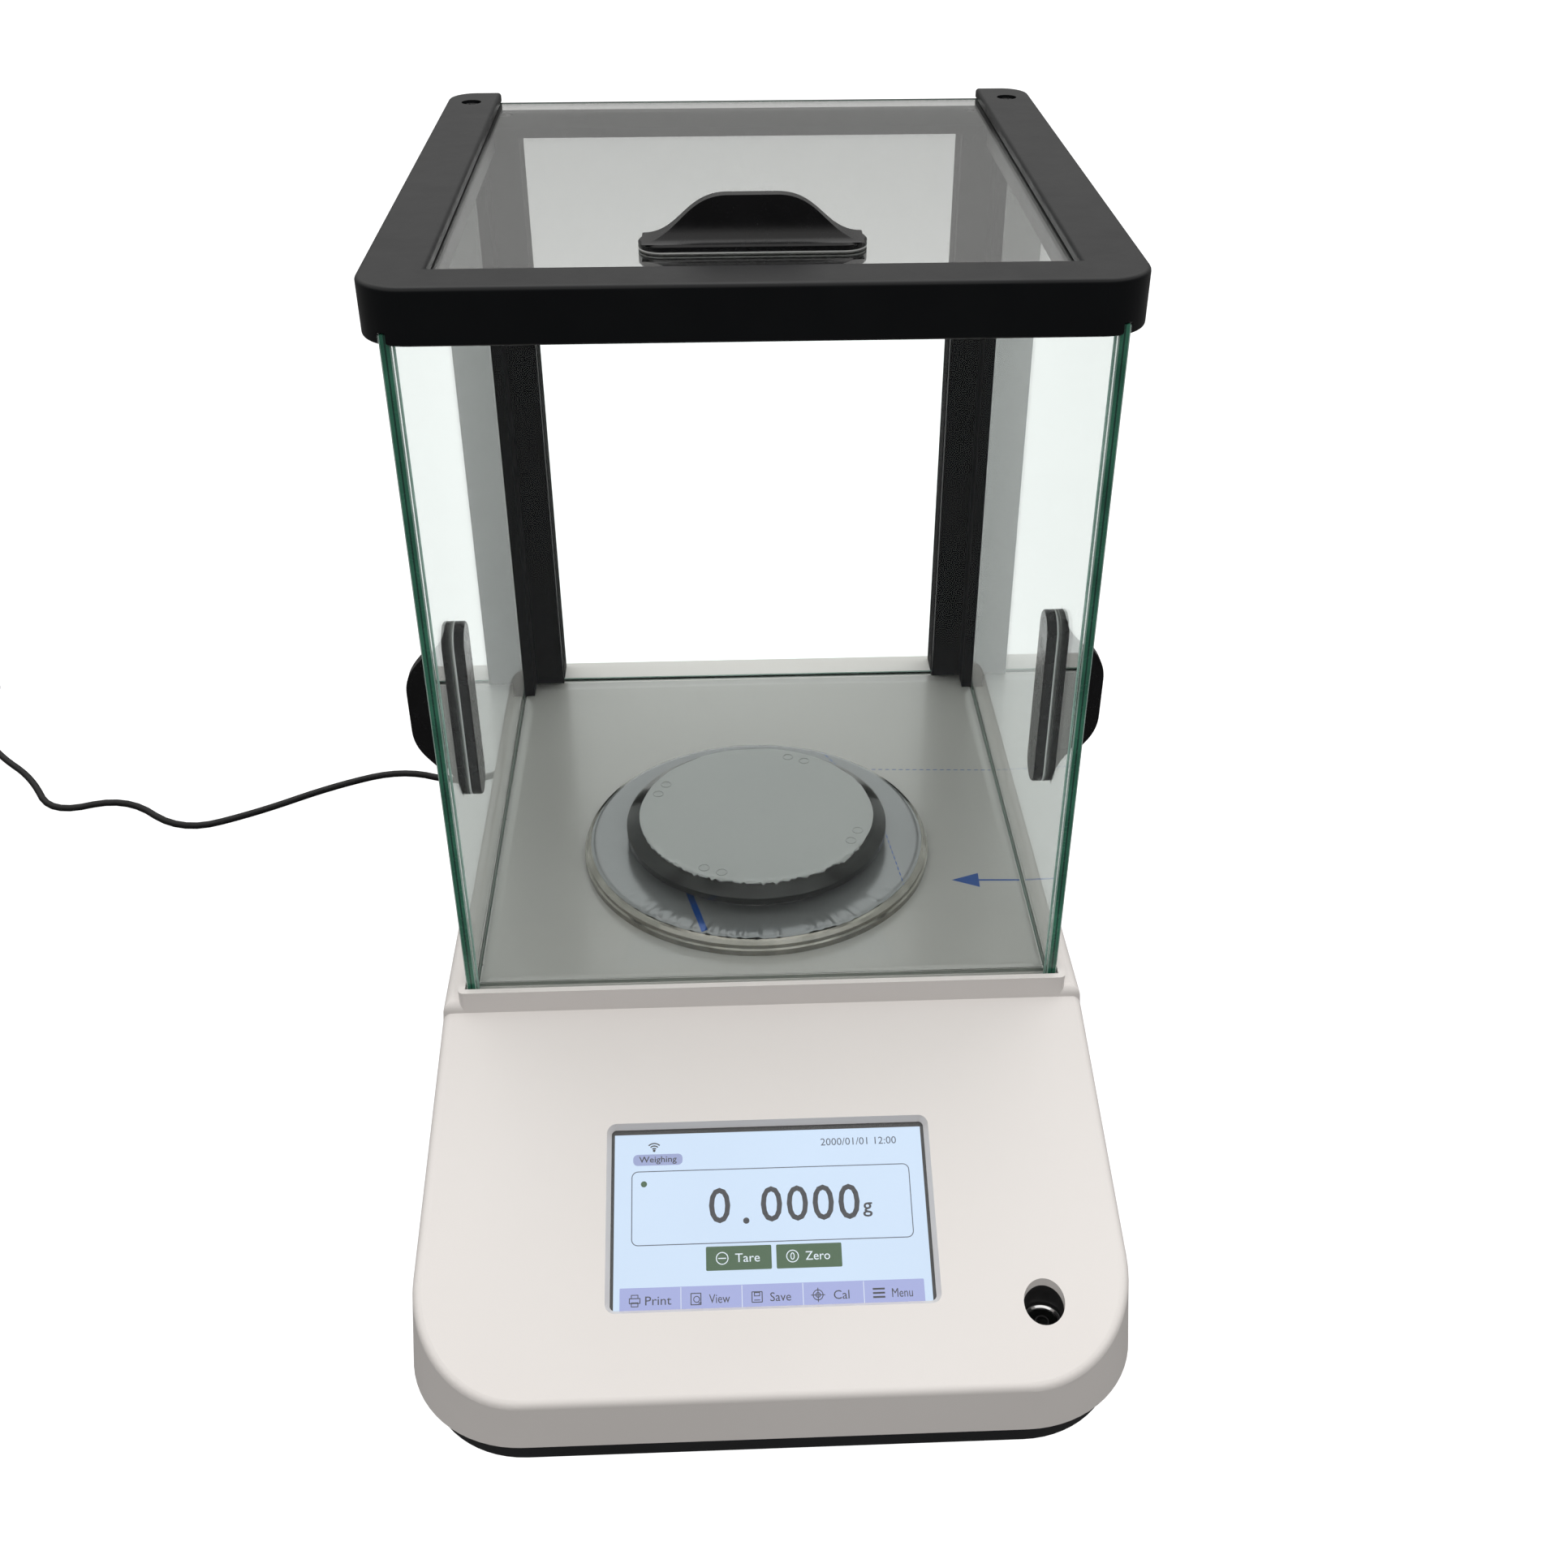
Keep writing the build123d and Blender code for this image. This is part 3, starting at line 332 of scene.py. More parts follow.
def circuitBoard():
    finish = Finish("circuitBoard", Coat_Weight=0.3)
    cells = finish.node("TexVoronoi", {"distance": "CHEBYCHEV"}, {"Scale": circuit["pads"]})
    tracks = finish.node("TexBrick", {"offset": 0.3}, {
        "Vector": finish.here(), "Scale": circuit["tracks"], "Mortar Size": circuit["trackWidth"],
        "Color1": (0, 0, 0, 1), "Color2": (0.2, 0.2, 0.2, 1), "Mortar": (1, 1, 1, 1),
    })
    pads = cells < circuit["padSize"]
    mask = finish.mix(tracks, circuit["mask"], circuit["trackTone"])
    return finish.drive(
        Base_Color=finish.mix(pads, mask, circuit["padTone"]), Roughness=0.35 + 0.2 * finish.noise(80, 3),
        Metallic=pads * 0.8, Normal=finish.bump(pads, 0.4, 0.0001),
    )


panAxis = [(low + high) / 2 for low, high in zip(*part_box("weighing_pan"))][:2]
finishes = {
    "housing": coated("housingShell", (0.760, 0.728, 0.708), (0.788, 0.758, 0.740), (0.36, 0.46),
                      grain=2300, depth=0.00005, broad=9),
    "tray": coated("trayCoat", (0.012, 0.013, 0.015), (0.022, 0.023, 0.026), (0.42, 0.56), grain=1300),
    "foot_rubber": coated("footRubber", (0.014, 0.014, 0.014), (0.035, 0.034, 0.033), (0.65, 0.85),
                          grain=900, depth=0.0001, strength=0.4),
    "foot_wheel": coated("wheelNylon", (0.010, 0.010, 0.011), (0.020, 0.020, 0.021), (0.4, 0.55)),
    "brass": turnedMetal("turnedBrass", panAxis, (0.55, 0.38, 0.14), (0.70, 0.52, 0.22), (0.2, 0.35)),
    "frame": coated("frameSatin", (0.0030, 0.0036, 0.0046), (0.0045, 0.0052, 0.0062), (0.30, 0.38),
                    grain=2600, depth=0.00001, Specular_IOR_Level=0.23),
    # posts: black anodised, with base colour and specular lowered further as painted shade for the dim
    # light inside the glass
    "post": drawn("postAnodisedShaded", (0.0012, 0.0016, 0.0022), (0.0022, 0.0027, 0.0036), (0.40, 0.50),
                  (420, 420, 4), metal=0.0, depth=0.0000005, Specular_IOR_Level=0.02),
    "handle": coated("handleGloss", (0.004, 0.004, 0.0045), (0.007, 0.007, 0.008), (0.20, 0.30),
                     grain=1500, depth=0.000005, broad=60, Specular_IOR_Level=0.30),
    "tape": coated("foamTape", (0.46, 0.48, 0.47), (0.60, 0.61, 0.60), (0.6, 0.8), grain=1600,
                   depth=0.0002, strength=0.6),
    "track": coated("trackStrip", (0.60, 0.60, 0.59), (0.70, 0.70, 0.69), (0.3, 0.45)),
    "floor_film": drawn("plateSteel", (0.42, 0.42, 0.40), (0.56, 0.56, 0.54), (0.25, 0.4), (8, 900, 900)),
    "ring_steel": turnedMetal("ringSteel", panAxis, (0.25, 0.24, 0.21), (0.36, 0.345, 0.31), (0.10, 0.20)),
    # the pan's near-black steel colour is painted shade: it stands in for the dark band the pan shows, and
    # is far darker than the steel itself
    "pan_steel": turnedMetal("panSteelShadeDark", panAxis, (0.030, 0.031, 0.030), (0.060, 0.061, 0.059),
                             (0.12, 0.22)),
    "bare_steel": turnedMetal("bareSteel", panAxis, (0.44, 0.43, 0.41), (0.58, 0.57, 0.55), (0.2, 0.35)),
    "cell_metal": drawn("cellAluminium", (0.60, 0.60, 0.61), (0.74, 0.74, 0.75), (0.28, 0.42),
                        (700, 10, 700)),
    "magnet": coated("nickelPlate", (0.30, 0.29, 0.27), (0.42, 0.41, 0.39), (0.2, 0.3), Metallic=1.0),
    "coil": windings(),
    "screw_dark": coated("screwDark", (0.06, 0.06, 0.062), (0.16, 0.16, 0.165), (0.25, 0.42), grain=900,
                         Metallic=1.0),
    "screw_zinc": coated("screwZinc", (0.50, 0.50, 0.48), (0.66, 0.66, 0.65), (0.22, 0.4), grain=900,
                         Metallic=1.0),
    "board": circuitBoard(),
    "screen": coated("screenShell", (0.010, 0.011, 0.012), (0.018, 0.019, 0.021), (0.2, 0.3)),
    "clear_glass": clearFinish("clearPane", (0.965, 0.985, 0.978), (0.955, 0.980, 0.972), ior=1.2),
    "touch_glass": clearFinish("touchGlass", (0.985, 0.99, 0.99), (0.97, 0.98, 0.98), 0.004),
    "level_black": coated("levelTube", (0.008, 0.008, 0.009), (0.016, 0.016, 0.017), (0.4, 0.6)),
    "level_chrome": coated("levelChrome", (0.66, 0.66, 0.67), (0.78, 0.78, 0.79), (0.06, 0.14),
                           depth=0.00001, Metallic=1.0),
    "level_vial": clearFinish("vialLiquid", (0.80, 0.86, 0.80), (0.72, 0.80, 0.74), 0.02, 1.45),
    "port_metal": drawn("portNickel", (0.50, 0.50, 0.48), (0.64, 0.64, 0.62), (0.25, 0.4), (8, 700, 700)),
    "inlet": coated("inletPlastic", (0.010, 0.010, 0.010), (0.020, 0.020, 0.020), (0.4, 0.6)),
    "lead": coated("leadVinyl", (0.005, 0.005, 0.0055), (0.010, 0.010, 0.0105), (0.42, 0.56), grain=900,
                   broad=60, Specular_IOR_Level=0.25),
    "adapter": coated("adapterCase", (0.010, 0.010, 0.011), (0.019, 0.019, 0.021), (0.42, 0.58), grain=1400,
                      depth=0.00008, strength=0.35),
}
for piece in nodes.values():
    piece.material_slots[0].material = finishes[piece.material_slots[0].material.name]
print("CAD nodes finished:", len(finishes), "finishes")


# Meshes: placed makes the object, and its body and slot; stands are the CAD nodes that it replaces
def placed(name, mesh, body, slot, *stands, finish=None):
    piece = bpy.data.objects.new(name, mesh)
    bpy.context.scene.collection.objects.link(piece)
    if not mesh.materials:
        mesh.materials.append(finish or finishes[slot])
    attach(piece, body)
    if stands:
        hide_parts(*stands)
    return piece


def meshOf(name, shape, smooth=None):
    mesh = bpy.data.meshes.new(name)
    shape.to_mesh(mesh)
    shape.free()
    if smooth is not None:
        mesh.shade_smooth()
        mesh.set_sharp_from_angle(angle=math.radians(smooth))
    return mesh


def bridge(shape, first, second, mark=0):
    # one ring of faces between two closed loops
    count = len(first)
    for index in range(count):
        after = (index + 1) % count
        face = shape.faces.new((first[index], first[after], second[after], second[index]))
        face.material_index = mark


def gridOf(shape, loops, mark=0):
    for first, second in zip(loops, loops[1:]):
        bridge(shape, first, second, mark)


# Power lead: the same route as the part's own, then the wound turns and the adapter's end
lead = {
    "diameter": 3.2,
    "length": 1.24,
    "route": [
        (-70, 199, 42), (-70, 223, 42), (-80, 240, 16), (-108, 228, 1.7), (-136, 208, 1.7),
        (-166, 222, 1.7), (-198, 209, 1.7), (-230, 188, 1.7), (-262, 174, 1.7), (-294, 204, 1.7),
        (-326, 191, 1.7), (-344, 222, 1.7), (-366, 242, 1.7), (-384, 266, 1.8), (-388.3, 290, 2.2),
    ],
    "centre": (-410, 302), "outerTurn": 21.6, "pitch": 3.3, "rest": 2.2, "turns": 6.5, "perTurn": 16,
    "smooth": 6, "sides": 4,
    "end": [(-428.4, 290, 8.8), (-428.4, 279, 9.6), (-428.4, 262, 13), (-428.4, 250, 13)],
}
# degrees between which a turn steps over, with its steps inwards and upwards in pitches
coilSteps = [
    (300, 360, 1, 0), (660, 720, 1, 0), (960, 1020, 0, 1), (1260, 1320, -1, 0),
    (1620, 1680, -1, 0), (1920, 1980, 0, 1), (2040, 2160, 1, 0),
]


def eased(value, start, end):
    share = min(1.0, max(0.0, (value - start) / (end - start)))
    return share * share * (3 - 2 * share)


def coilPoint(degrees):
    radius, height = lead["outerTurn"], lead["rest"]
    for start, end, inwards, upwards in coilSteps:
        share = eased(degrees, start, end) * lead["pitch"]
        radius -= share * inwards
        height += share * upwards
    angle = math.radians(degrees)
    x, y = lead["centre"]
    return (x + radius * math.cos(angle), y + radius * math.sin(angle), height)


def makeLead():
    count = int(lead["turns"] * lead["perTurn"])
    turns = [coilPoint(360 * index / lead["perTurn"]) for index in range(count + 1)]
    points = lead["route"] + turns + lead["end"]
    curve = bpy.data.curves.new("powerLead", "CURVE")
    curve.dimensions = "3D"
    spline = curve.splines.new("NURBS")
    spline.points.add(len(points) - 1)
    for point, place in zip(spline.points, points):
        point.co = (*(Vector(place) * mm), 1)
    spline.order_u = 3
    spline.use_endpoint_u = True
    spline.resolution_u = lead["smooth"]
    curve.bevel_depth = lead["diameter"] / 2 * mm
    curve.bevel_resolution = lead["sides"]
    curve.materials.append(finishes["lead"])
    piece = bpy.data.objects.new("powerLead", curve)
    bpy.context.scene.collection.objects.link(piece)
    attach(piece, "base")
    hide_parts("lead_tube", "lead_coil", "lead_tail")
    return piece


powerLead = makeLead()
print("power lead laid")


# Tie that holds the wound lead
tie = {
    "angle": -90, "inner": 13.2, "outer": 23.5, "low": 0.1, "high": 10.7, "round": 1.6, "wide": 4.0,
    "thick": 0.45, "tail": 7.0, "tailWide": 3.2, "tailTucked": 2.5, "tailAbove": 0.1,
}


def makeTie():
    shape = bmesh.new()
    outline = []
    for cornerX, cornerZ, start in [(1, 1, 0), (0, 1, 90), (0, 0, 180), (1, 0, 270)]:
        x = (tie["inner"] + tie["round"], tie["outer"] - tie["round"])[cornerX]
        z = (tie["low"] + tie["round"], tie["high"] - tie["round"])[cornerZ]
        for step in range(5):
            angle = math.radians(start + step * 22.5)
            outline.append((x, z, math.cos(angle), math.sin(angle)))
    loops = []
    for side, depth in [(-1, 0), (1, 0), (1, 1), (-1, 1)]:
        reach = tie["round"] - depth * tie["thick"]
        points = [(x + reach * cos, side * tie["wide"] / 2, z + reach * sin) for x, z, cos, sin in outline]
        loops.append([shape.verts.new(point) for point in points])
    gridOf(shape, loops + loops[:1])
    tail = bmesh.ops.create_cube(shape, size=1.0)["verts"]
    bmesh.ops.scale(shape, vec=(tie["tail"], tie["tailWide"], tie["thick"]), verts=tail)
    reach = tie["outer"] + tie["tail"] / 2 - tie["tailTucked"]
    bmesh.ops.translate(shape, vec=(reach, 0, tie["high"] + tie["tailAbove"]), verts=tail)
    spin = Matrix.Rotation(math.radians(tie["angle"]), 4, "Z")
    move = Matrix.Translation((*lead["centre"], 0))
    bmesh.ops.transform(shape, matrix=Matrix.Scale(mm, 4) @ move @ spin, verts=shape.verts)
    bmesh.ops.recalc_face_normals(shape, faces=shape.faces)
    return placed("coilTie", meshOf("coilTie", shape, 40), "base", "lead", finish=tieFabric())


def tieFabric():
    finish = Finish("tieFabric", Roughness=0.8, Sheen_Weight=0.3)
    weave = finish.node("TexVoronoi", {}, {"Scale": 1900.0, "Vector": finish.here()})
    return finish.drive(
        Base_Color=finish.mix(weave, (0.012, 0.012, 0.013), (0.045, 0.045, 0.047)),
        Normal=finish.bump(weave, 0.7, 0.0002),
    )


makeTie()


# Glass panes with ground edges
pane = {
    "arris": 0.35, "seam": 0.22,
    "topShadeTints": ((0.54, 0.54, 0.53), (0.52, 0.525, 0.515)),
    "sideShadeTints": ((0.62, 0.645, 0.63), (0.60, 0.63, 0.615)),
}
# topPane and sidePane are greyed with painted shade: their grey stands in for the dim room seen through the
# panes, not a colour of the glass
topPane = clearFinish("topPane", *pane["topShadeTints"])
sidePane = clearFinish("sidePane", *pane["sideShadeTints"])


def groundEdge(name, dark, light, rough):
    finish = Finish(name, Coat_Weight=0.4, Coat_Roughness=0.1)
    waves = finish.noise(55, 3)
    fine = finish.noise(700, 2)
    return finish.drive(
        Base_Color=finish.mix(finish.band(waves, 0.35, 0.65), dark, light),
        Roughness=finish.band(fine, 0.3, 0.7, *rough), Normal=finish.bump(waves, 0.3, 0.0006),
    )


edgeGreen = groundEdge("edgeGreen", (0.022, 0.130, 0.082), (0.050, 0.235, 0.150), (0.15, 0.3))
edgeSeam = groundEdge("edgeSeam", (0.006, 0.045, 0.030), (0.012, 0.070, 0.048), (0.2, 0.3))
edgeArris = groundEdge("edgeArris", (0.28, 0.44, 0.38), (0.42, 0.58, 0.52), (0.2, 0.35))


def makePane(name, node, body, clear=finishes["clear_glass"]):
    low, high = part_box(node)
    sizes = [(high[axis] - low[axis]) / mm for axis in range(3)]
    thin = sizes.index(min(sizes))
    across, along = [axis for axis in range(3) if axis != thin]
    half = sizes[thin] / 2
    arris, seam = pane["arris"], pane["seam"]
    # inset and depth round the edge, and the material of each step: arris, ground edge, seam
    profile = [(arris, -half), (0, arris - half), (0, -seam), (0, seam), (0, half - arris), (arris, half)]
    marks = [2, 1, 3, 1, 2]
    middle = (low + high) / 2
    shape = bmesh.new()
    loops = []
    for inset, depth in profile:
        a, b = sizes[across] / 2 - inset, sizes[along] / 2 - inset
        loop = []
        for signA, signB in [(-1, -1), (1, -1), (1, 1), (-1, 1)]:
            place = middle.copy()
            place[across] += signA * a * mm
            place[along] += signB * b * mm
            place[thin] += depth * mm
            loop.append(shape.verts.new(place))
        loops.append(loop)
    for mark, first, second in zip(marks, loops, loops[1:]):
        bridge(shape, first, second, mark)
    shape.faces.new(loops[0])
    shape.faces.new(loops[-1])
    bmesh.ops.recalc_face_normals(shape, faces=shape.faces)
    mesh = meshOf(name, shape)
    for finish in (clear, edgeGreen, edgeArris, edgeSeam):
        mesh.materials.append(finish)
    return placed(name, mesh, body, "clear_glass", node)


makePane("frontPane", "front_glass", "base")
makePane("rearPane", "rear_glass", "base")
makePane("topPane", "top_door_glass", "top_door", topPane)
makePane("leftPane", "left_door_glass", "left_door", sidePane)
makePane("rightPane", "right_door_glass", "right_door", sidePane)
print("panes set")


# Geometry Nodes: a Pattern is one tree with named inputs
class Pattern:
    def __init__(self, name, inputs):
        self.tree = bpy.data.node_groups.new(name, "GeometryNodeTree")
        sockets = self.tree.interface
        sockets.new_socket("Geometry", in_out="OUTPUT", socket_type="NodeSocketGeometry")
        self.values = {}
        for label, value in inputs.items():
            kind = "Int" if isinstance(value, int) else "Float"
            made = sockets.new_socket(label, in_out="INPUT", socket_type="NodeSocket" + kind)
            made.default_value = value
            self.values[made.identifier] = value
        self.inputs = self.tree.nodes.new("NodeGroupInput").outputs
        self.goal = self.tree.nodes.new("NodeGroupOutput")

    def node(self, kind, settings=None, sockets=None, output=0):
        made = self.tree.nodes.new(kind)
        for key, value in (settings or {}).items():
            setattr(made, key, value)
        for key, value in (sockets or {}).items():
            for one in value if isinstance(value, list) else [value]:
                if isinstance(one, bpy.types.NodeSocket):
                    self.tree.links.new(one, made.inputs[key])
                else:
                    made.inputs[key].default_value = one
        return made.outputs[output]

    def maths(self, operation, first, second):
        return self.node("ShaderNodeMath", {"operation": operation}, {0: first, 1: second})

    def point(self, x=0.0, y=0.0, z=0.0):
        return self.node("ShaderNodeCombineXYZ", {}, {0: x, 1: y, 2: z})

    def moved(self, geometry, x=0.0, y=0.0, z=0.0):
        spot = self.point(x, y, z)
        return self.node("GeometryNodeTransform", {}, {"Geometry": geometry, "Translation": spot})

    def end(self, parts, finish):
        joined = self.node("GeometryNodeJoinGeometry", {}, {0: parts})
        solid = self.node("GeometryNodeRealizeInstances", {}, {0: joined})
        done = self.node("GeometryNodeSetMaterial", {}, {"Geometry": solid, "Material": finish})
        self.tree.links.new(done, self.goal.inputs[0])

    def grown(self, name):
        # evaluates the tree once, with its inputs set by their identifiers, and returns a plain mesh
        host = bpy.data.objects.new(name, bpy.data.meshes.new(name + "Host"))
        bpy.context.scene.collection.objects.link(host)
        modifier = host.modifiers.new("pattern", "NODES")
        modifier.node_group = self.tree
        for identifier, value in self.values.items():
            modifier[identifier] = value
        graph = bpy.context.evaluated_depsgraph_get()
        mesh = bpy.data.meshes.new_from_object(host.evaluated_get(graph))
        bpy.data.objects.remove(host)
        return mesh


# Levelling wheels: knurled rim, chamfered faces and a threaded stud
wheel = {
    "radius": 16.0, "thickness": 4.6, "ribs": 60, "ribRadius": 0.62, "chamfer": 0.7, "stud": 3.55,
    "studRise": 9.6, "threadPitch": 1.25, "threadDepth": 0.45, "threadFrom": 0.7, "bareStud": 1.4,
    "sides": 120, "ribSides": 8, "studSides": 48, "threadSteps": 28,
}


def wheelPattern():
    metric = {label: size * mm for label, size in wheel.items()}
    tree = Pattern("knurledWheel", {
        "radius": metric["radius"], "thickness": metric["thickness"], "ribs": wheel["ribs"],
        "ribRadius": metric["ribRadius"], "stud": metric["stud"], "studRise": metric["studRise"],
    })
    ask = tree.inputs
    chamfer = metric["chamfer"]
    core = tree.maths("SUBTRACT", ask["radius"], ask["ribRadius"])
    rise = tree.maths("SUBTRACT", ask["thickness"], chamfer * 2)
    middle = tree.maths("MULTIPLY", ask["thickness"], 0.5)
    disc = tree.node("GeometryNodeMeshCylinder", {}, {
        "Vertices": wheel["sides"], "Radius": core, "Depth": rise})
    small = tree.maths("SUBTRACT", core, chamfer)
    cone = {"Vertices": wheel["sides"], "Radius Top": small, "Radius Bottom": core, "Depth": chamfer}
    upper = tree.node("GeometryNodeMeshCone", {}, cone)
    cone["Radius Top"], cone["Radius Bottom"] = core, small
    lower = tree.node("GeometryNodeMeshCone", {}, cone)
    ring = tree.node("GeometryNodeMeshCircle", {}, {"Vertices": ask["ribs"], "Radius": core})
    rib = tree.node("GeometryNodeMeshCylinder", {}, {
        "Vertices": wheel["ribSides"], "Radius": ask["ribRadius"], "Depth": rise})
    ribs = tree.node("GeometryNodeInstanceOnPoints", {}, {"Points": ring, "Instance": rib})
    shaft = tree.node("GeometryNodeMeshCylinder", {}, {
        "Vertices": wheel["studSides"], "Radius": ask["stud"], "Depth": ask["studRise"]})
    up = tree.maths("ADD", tree.maths("MULTIPLY", ask["studRise"], 0.5), ask["thickness"])
    run = metric["studRise"] - metric["bareStud"]
    helix = tree.node("GeometryNodeCurveSpiral", {}, {
        "Resolution": wheel["threadSteps"], "Rotations": run / metric["threadPitch"],
        "Start Radius": ask["stud"], "End Radius": ask["stud"], "Height": run})
    tooth = tree.node("GeometryNodeCurvePrimitiveCircle", {}, {
        "Resolution": 4, "Radius": metric["threadDepth"]})
    thread = tree.node("GeometryNodeCurveToMesh", {}, {
        "Curve": helix, "Profile Curve": tooth, "Fill Caps": True})
    top = tree.maths("SUBTRACT", ask["thickness"], chamfer)
    threadAt = tree.maths("ADD", ask["thickness"], metric["threadFrom"])
    tree.end([
        tree.moved(disc, z=middle), tree.moved(ribs, z=middle), tree.moved(shaft, z=up),
        tree.moved(upper, z=top), tree.moved(lower), tree.moved(thread, z=threadAt),
    ], finishes["foot_wheel"])
    return tree


wheels = wheelPattern()
for corner in ("front_left", "front_right", "rear_left", "rear_right"):
    name, stands = "knurledWheel_" + corner, "foot_wheel_" + corner
    low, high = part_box(stands)
    mesh = wheels.grown(name)
    mesh.transform(Matrix.Translation(((low.x + high.x) / 2, (low.y + high.y) / 2, low.z)))
    mesh.shade_smooth()
    mesh.set_sharp_from_angle(angle=math.radians(35))
    placed(name, mesh, "levelling_wheel_" + corner, "foot_wheel", stands)
print("levelling wheels made")


# Protective films
film = {"blue": (0.010, 0.070, 0.300), "thickness": 0.04, "lift": 0.03, "seed": (3.1, 7.7, 1.3)}


def ripple(x, y, scale):
    return noise.noise(Vector((x, y, 0)) * scale + Vector(film["seed"]))


def printed(marks):
    total = marks[0]
    for mark in marks[1:]:
        total = total.through("MAXIMUM", mark)
    return total


def metres(points):
    return [(x * mm, y * mm) for x, y in points]


def barMark(finish, ends, width):
    return finish.stroke(*metres(ends), width * mm)[0]


def dashMark(finish, ends, width, period, share=0.6):
    inside, along = finish.stroke(*metres(ends), width * mm)[:2]
    return inside * ((along / (period * mm)).through("FRACT") < share)


def arrowMark(finish, ends, width, head, slope=0.42):
    shaft, along, across = finish.stroke(*metres(ends), width * mm)
    remaining = math.dist(*ends) * mm - along
    tip = (remaining > 0.0) * (remaining < head * mm) * (across < remaining * slope)
    return printed([shaft * (remaining > head * mm * 0.8), tip])


def filmFinish(name, dark, light, rough, metal, marks=()):
    # marks are printed in blue: each is a function and its sizes in millimetres
    finish = Finish(name, Coat_Weight=0.5, Coat_Roughness=0.12)
    clouds = finish.noise(11, 1)
    fine = finish.noise(420, 2)
    base = finish.mix(finish.band(clouds, 0.3, 0.7), dark, light)
    if marks:
        base = finish.mix(printed([make(finish, *sizes) for make, *sizes in marks]), base, film["blue"])
    return finish.drive(
        Base_Color=base, Roughness=finish.band(clouds, 0.3, 0.7, *rough), Metallic=metal,
        Normal=finish.bump(fine, 0.10, 0.00003),
    )


def polar(shape, radius, degrees, height):
    # a corner at millimetres from the pan's axis, degrees round it, and millimetres above the table
    x, y = panAxis
    angle, reach = math.radians(degrees), radius * mm
    return shape.verts.new((x + reach * math.cos(angle), y + reach * math.sin(angle), height * mm))


def thickened(piece):
    wall = piece.modifiers.new("filmWall", "SOLIDIFY")
    wall.thickness = film["thickness"] * mm
    wall.offset = 1.0
    return piece


panFilm = {
    "radii": [2, 8, 14, 20, 26, 31, 35, 38, 39.6, 40.6, 41.2, 41.9, 42.6, 43.3], "steps": 240,
    "cut": 40.95, "cutSway": 0.25, "bendFrom": 41.0, "bendSlope": 0.62,
    "tornFrom": 196, "tornTo": 338, "tornFade": 14, "tornReach": 0.45, "tornSway": (0.55, 0.60),
    "lipFrom": 40, "lipRise": 1.15, "tones": ((0.335, 0.350, 0.340), (0.375, 0.390, 0.378)),
    "rough": (0.28, 0.36), "metal": 0.15,
}


def makePanFilm():
    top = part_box("weighing_pan")[1].z / mm + film["lift"]
    coarse, fine = panFilm["tornSway"]
    shape = bmesh.new()
    loops = []
    for radius in panFilm["radii"]:
        loop = []
        for step in range(panFilm["steps"]):
            degrees = 360 * step / panFilm["steps"]
            torn = eased(degrees, panFilm["tornFrom"], panFilm["tornFrom"] + panFilm["tornFade"])
            torn -= eased(degrees, panFilm["tornTo"] - panFilm["tornFade"], panFilm["tornTo"])
            edge = panFilm["tornReach"] + coarse * ripple(degrees, 5, 0.47)
            edge += fine * ripple(degrees, 9, 1.13)
            ragged = panFilm["cut"] + panFilm["cutSway"] * ripple(degrees, 0, 0.09) + torn * edge
            reach = min(radius, ragged)
            height = top - max(0.0, reach - panFilm["bendFrom"]) * panFilm["bendSlope"]
            if radius > panFilm["lipFrom"]:
                height += torn * panFilm["lipRise"] * abs(ripple(degrees * 2.1, radius * 3, 0.41))
            loop.append(polar(shape, reach, degrees, height + 0.02 * ripple(degrees, radius, 0.2)))
        loops.append(loop)
    shape.faces.new(loops[0])
    gridOf(shape, loops)
    bmesh.ops.remove_doubles(shape, verts=shape.verts, dist=1e-6)
    bmesh.ops.recalc_face_normals(shape, faces=shape.faces)
    finish = filmFinish("panFilm", *panFilm["tones"], panFilm["rough"], panFilm["metal"])
    mesh = meshOf("panFilm", shape, 50)
    return thickened(placed("panFilm", mesh, "pan", "pan_steel", finish=finish))


ringFilm = {
    "from": 39.9, "to": 58.4, "rings": 16, "steps": 480, "sag": 0.4, "bendFrom": 57.6, "bendSlope": 0.2,
    "foldsFrom": (205, 235), "foldsTo": (305, 335), "foldsOut": (50, 56.5), "foldHeight": 1.1,
    "tones": ((0.235, 0.245, 0.248), (0.285, 0.295, 0.298)), "rough": (0.18, 0.28), "metal": 0.45,
    "marks": [
        (barMark, ((-25.3, -7.8), (-18.6, -35.3)), 2.2),
        (dashMark, ((45.6, 19.5), (49.3, -13.5)), 0.35, 3.2),
        (dashMark, ((26.0, 71.5), (36.5, 52.0)), 0.35, 3.2),
    ],
}


def makeRingFilm():
    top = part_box("draft_ring")[1].z / mm
    inner, outer, bend, sag = [ringFilm[key] for key in ("from", "to", "bendFrom", "sag")]
    shape = bmesh.new()
    loops = []
    for index in range(ringFilm["rings"] + 1):
        radius = inner + (outer - inner) * index / ringFilm["rings"]
        seat = min(top, top - sag + sag * (radius - inner) / (bend - inner))
        loop = []
        for step in range(ringFilm["steps"]):
            degrees = 360 * step / ringFilm["steps"]
            front = eased(degrees, *ringFilm["foldsFrom"]) - eased(degrees, *ringFilm["foldsTo"])
            folds = max(0.0, ripple(degrees, 1, 0.47)) * front * eased(radius, *ringFilm["foldsOut"])
            height = seat + film["lift"] + ringFilm["foldHeight"] * folds
            height -= max(0, radius - bend) * ringFilm["bendSlope"]
            loop.append(polar(shape, radius + 0.2 * ripple(degrees, radius, 0.05), degrees, height))
        loops.append(loop)
    gridOf(shape, loops)
    bmesh.ops.recalc_face_normals(shape, faces=shape.faces)
    finish = filmFinish(
        "ringFilm", *ringFilm["tones"], ringFilm["rough"], ringFilm["metal"], ringFilm["marks"])
    mesh = meshOf("ringFilm", shape, 60)
    return thickened(placed("ringFilm", mesh, "ring", "ring_steel", finish=finish))


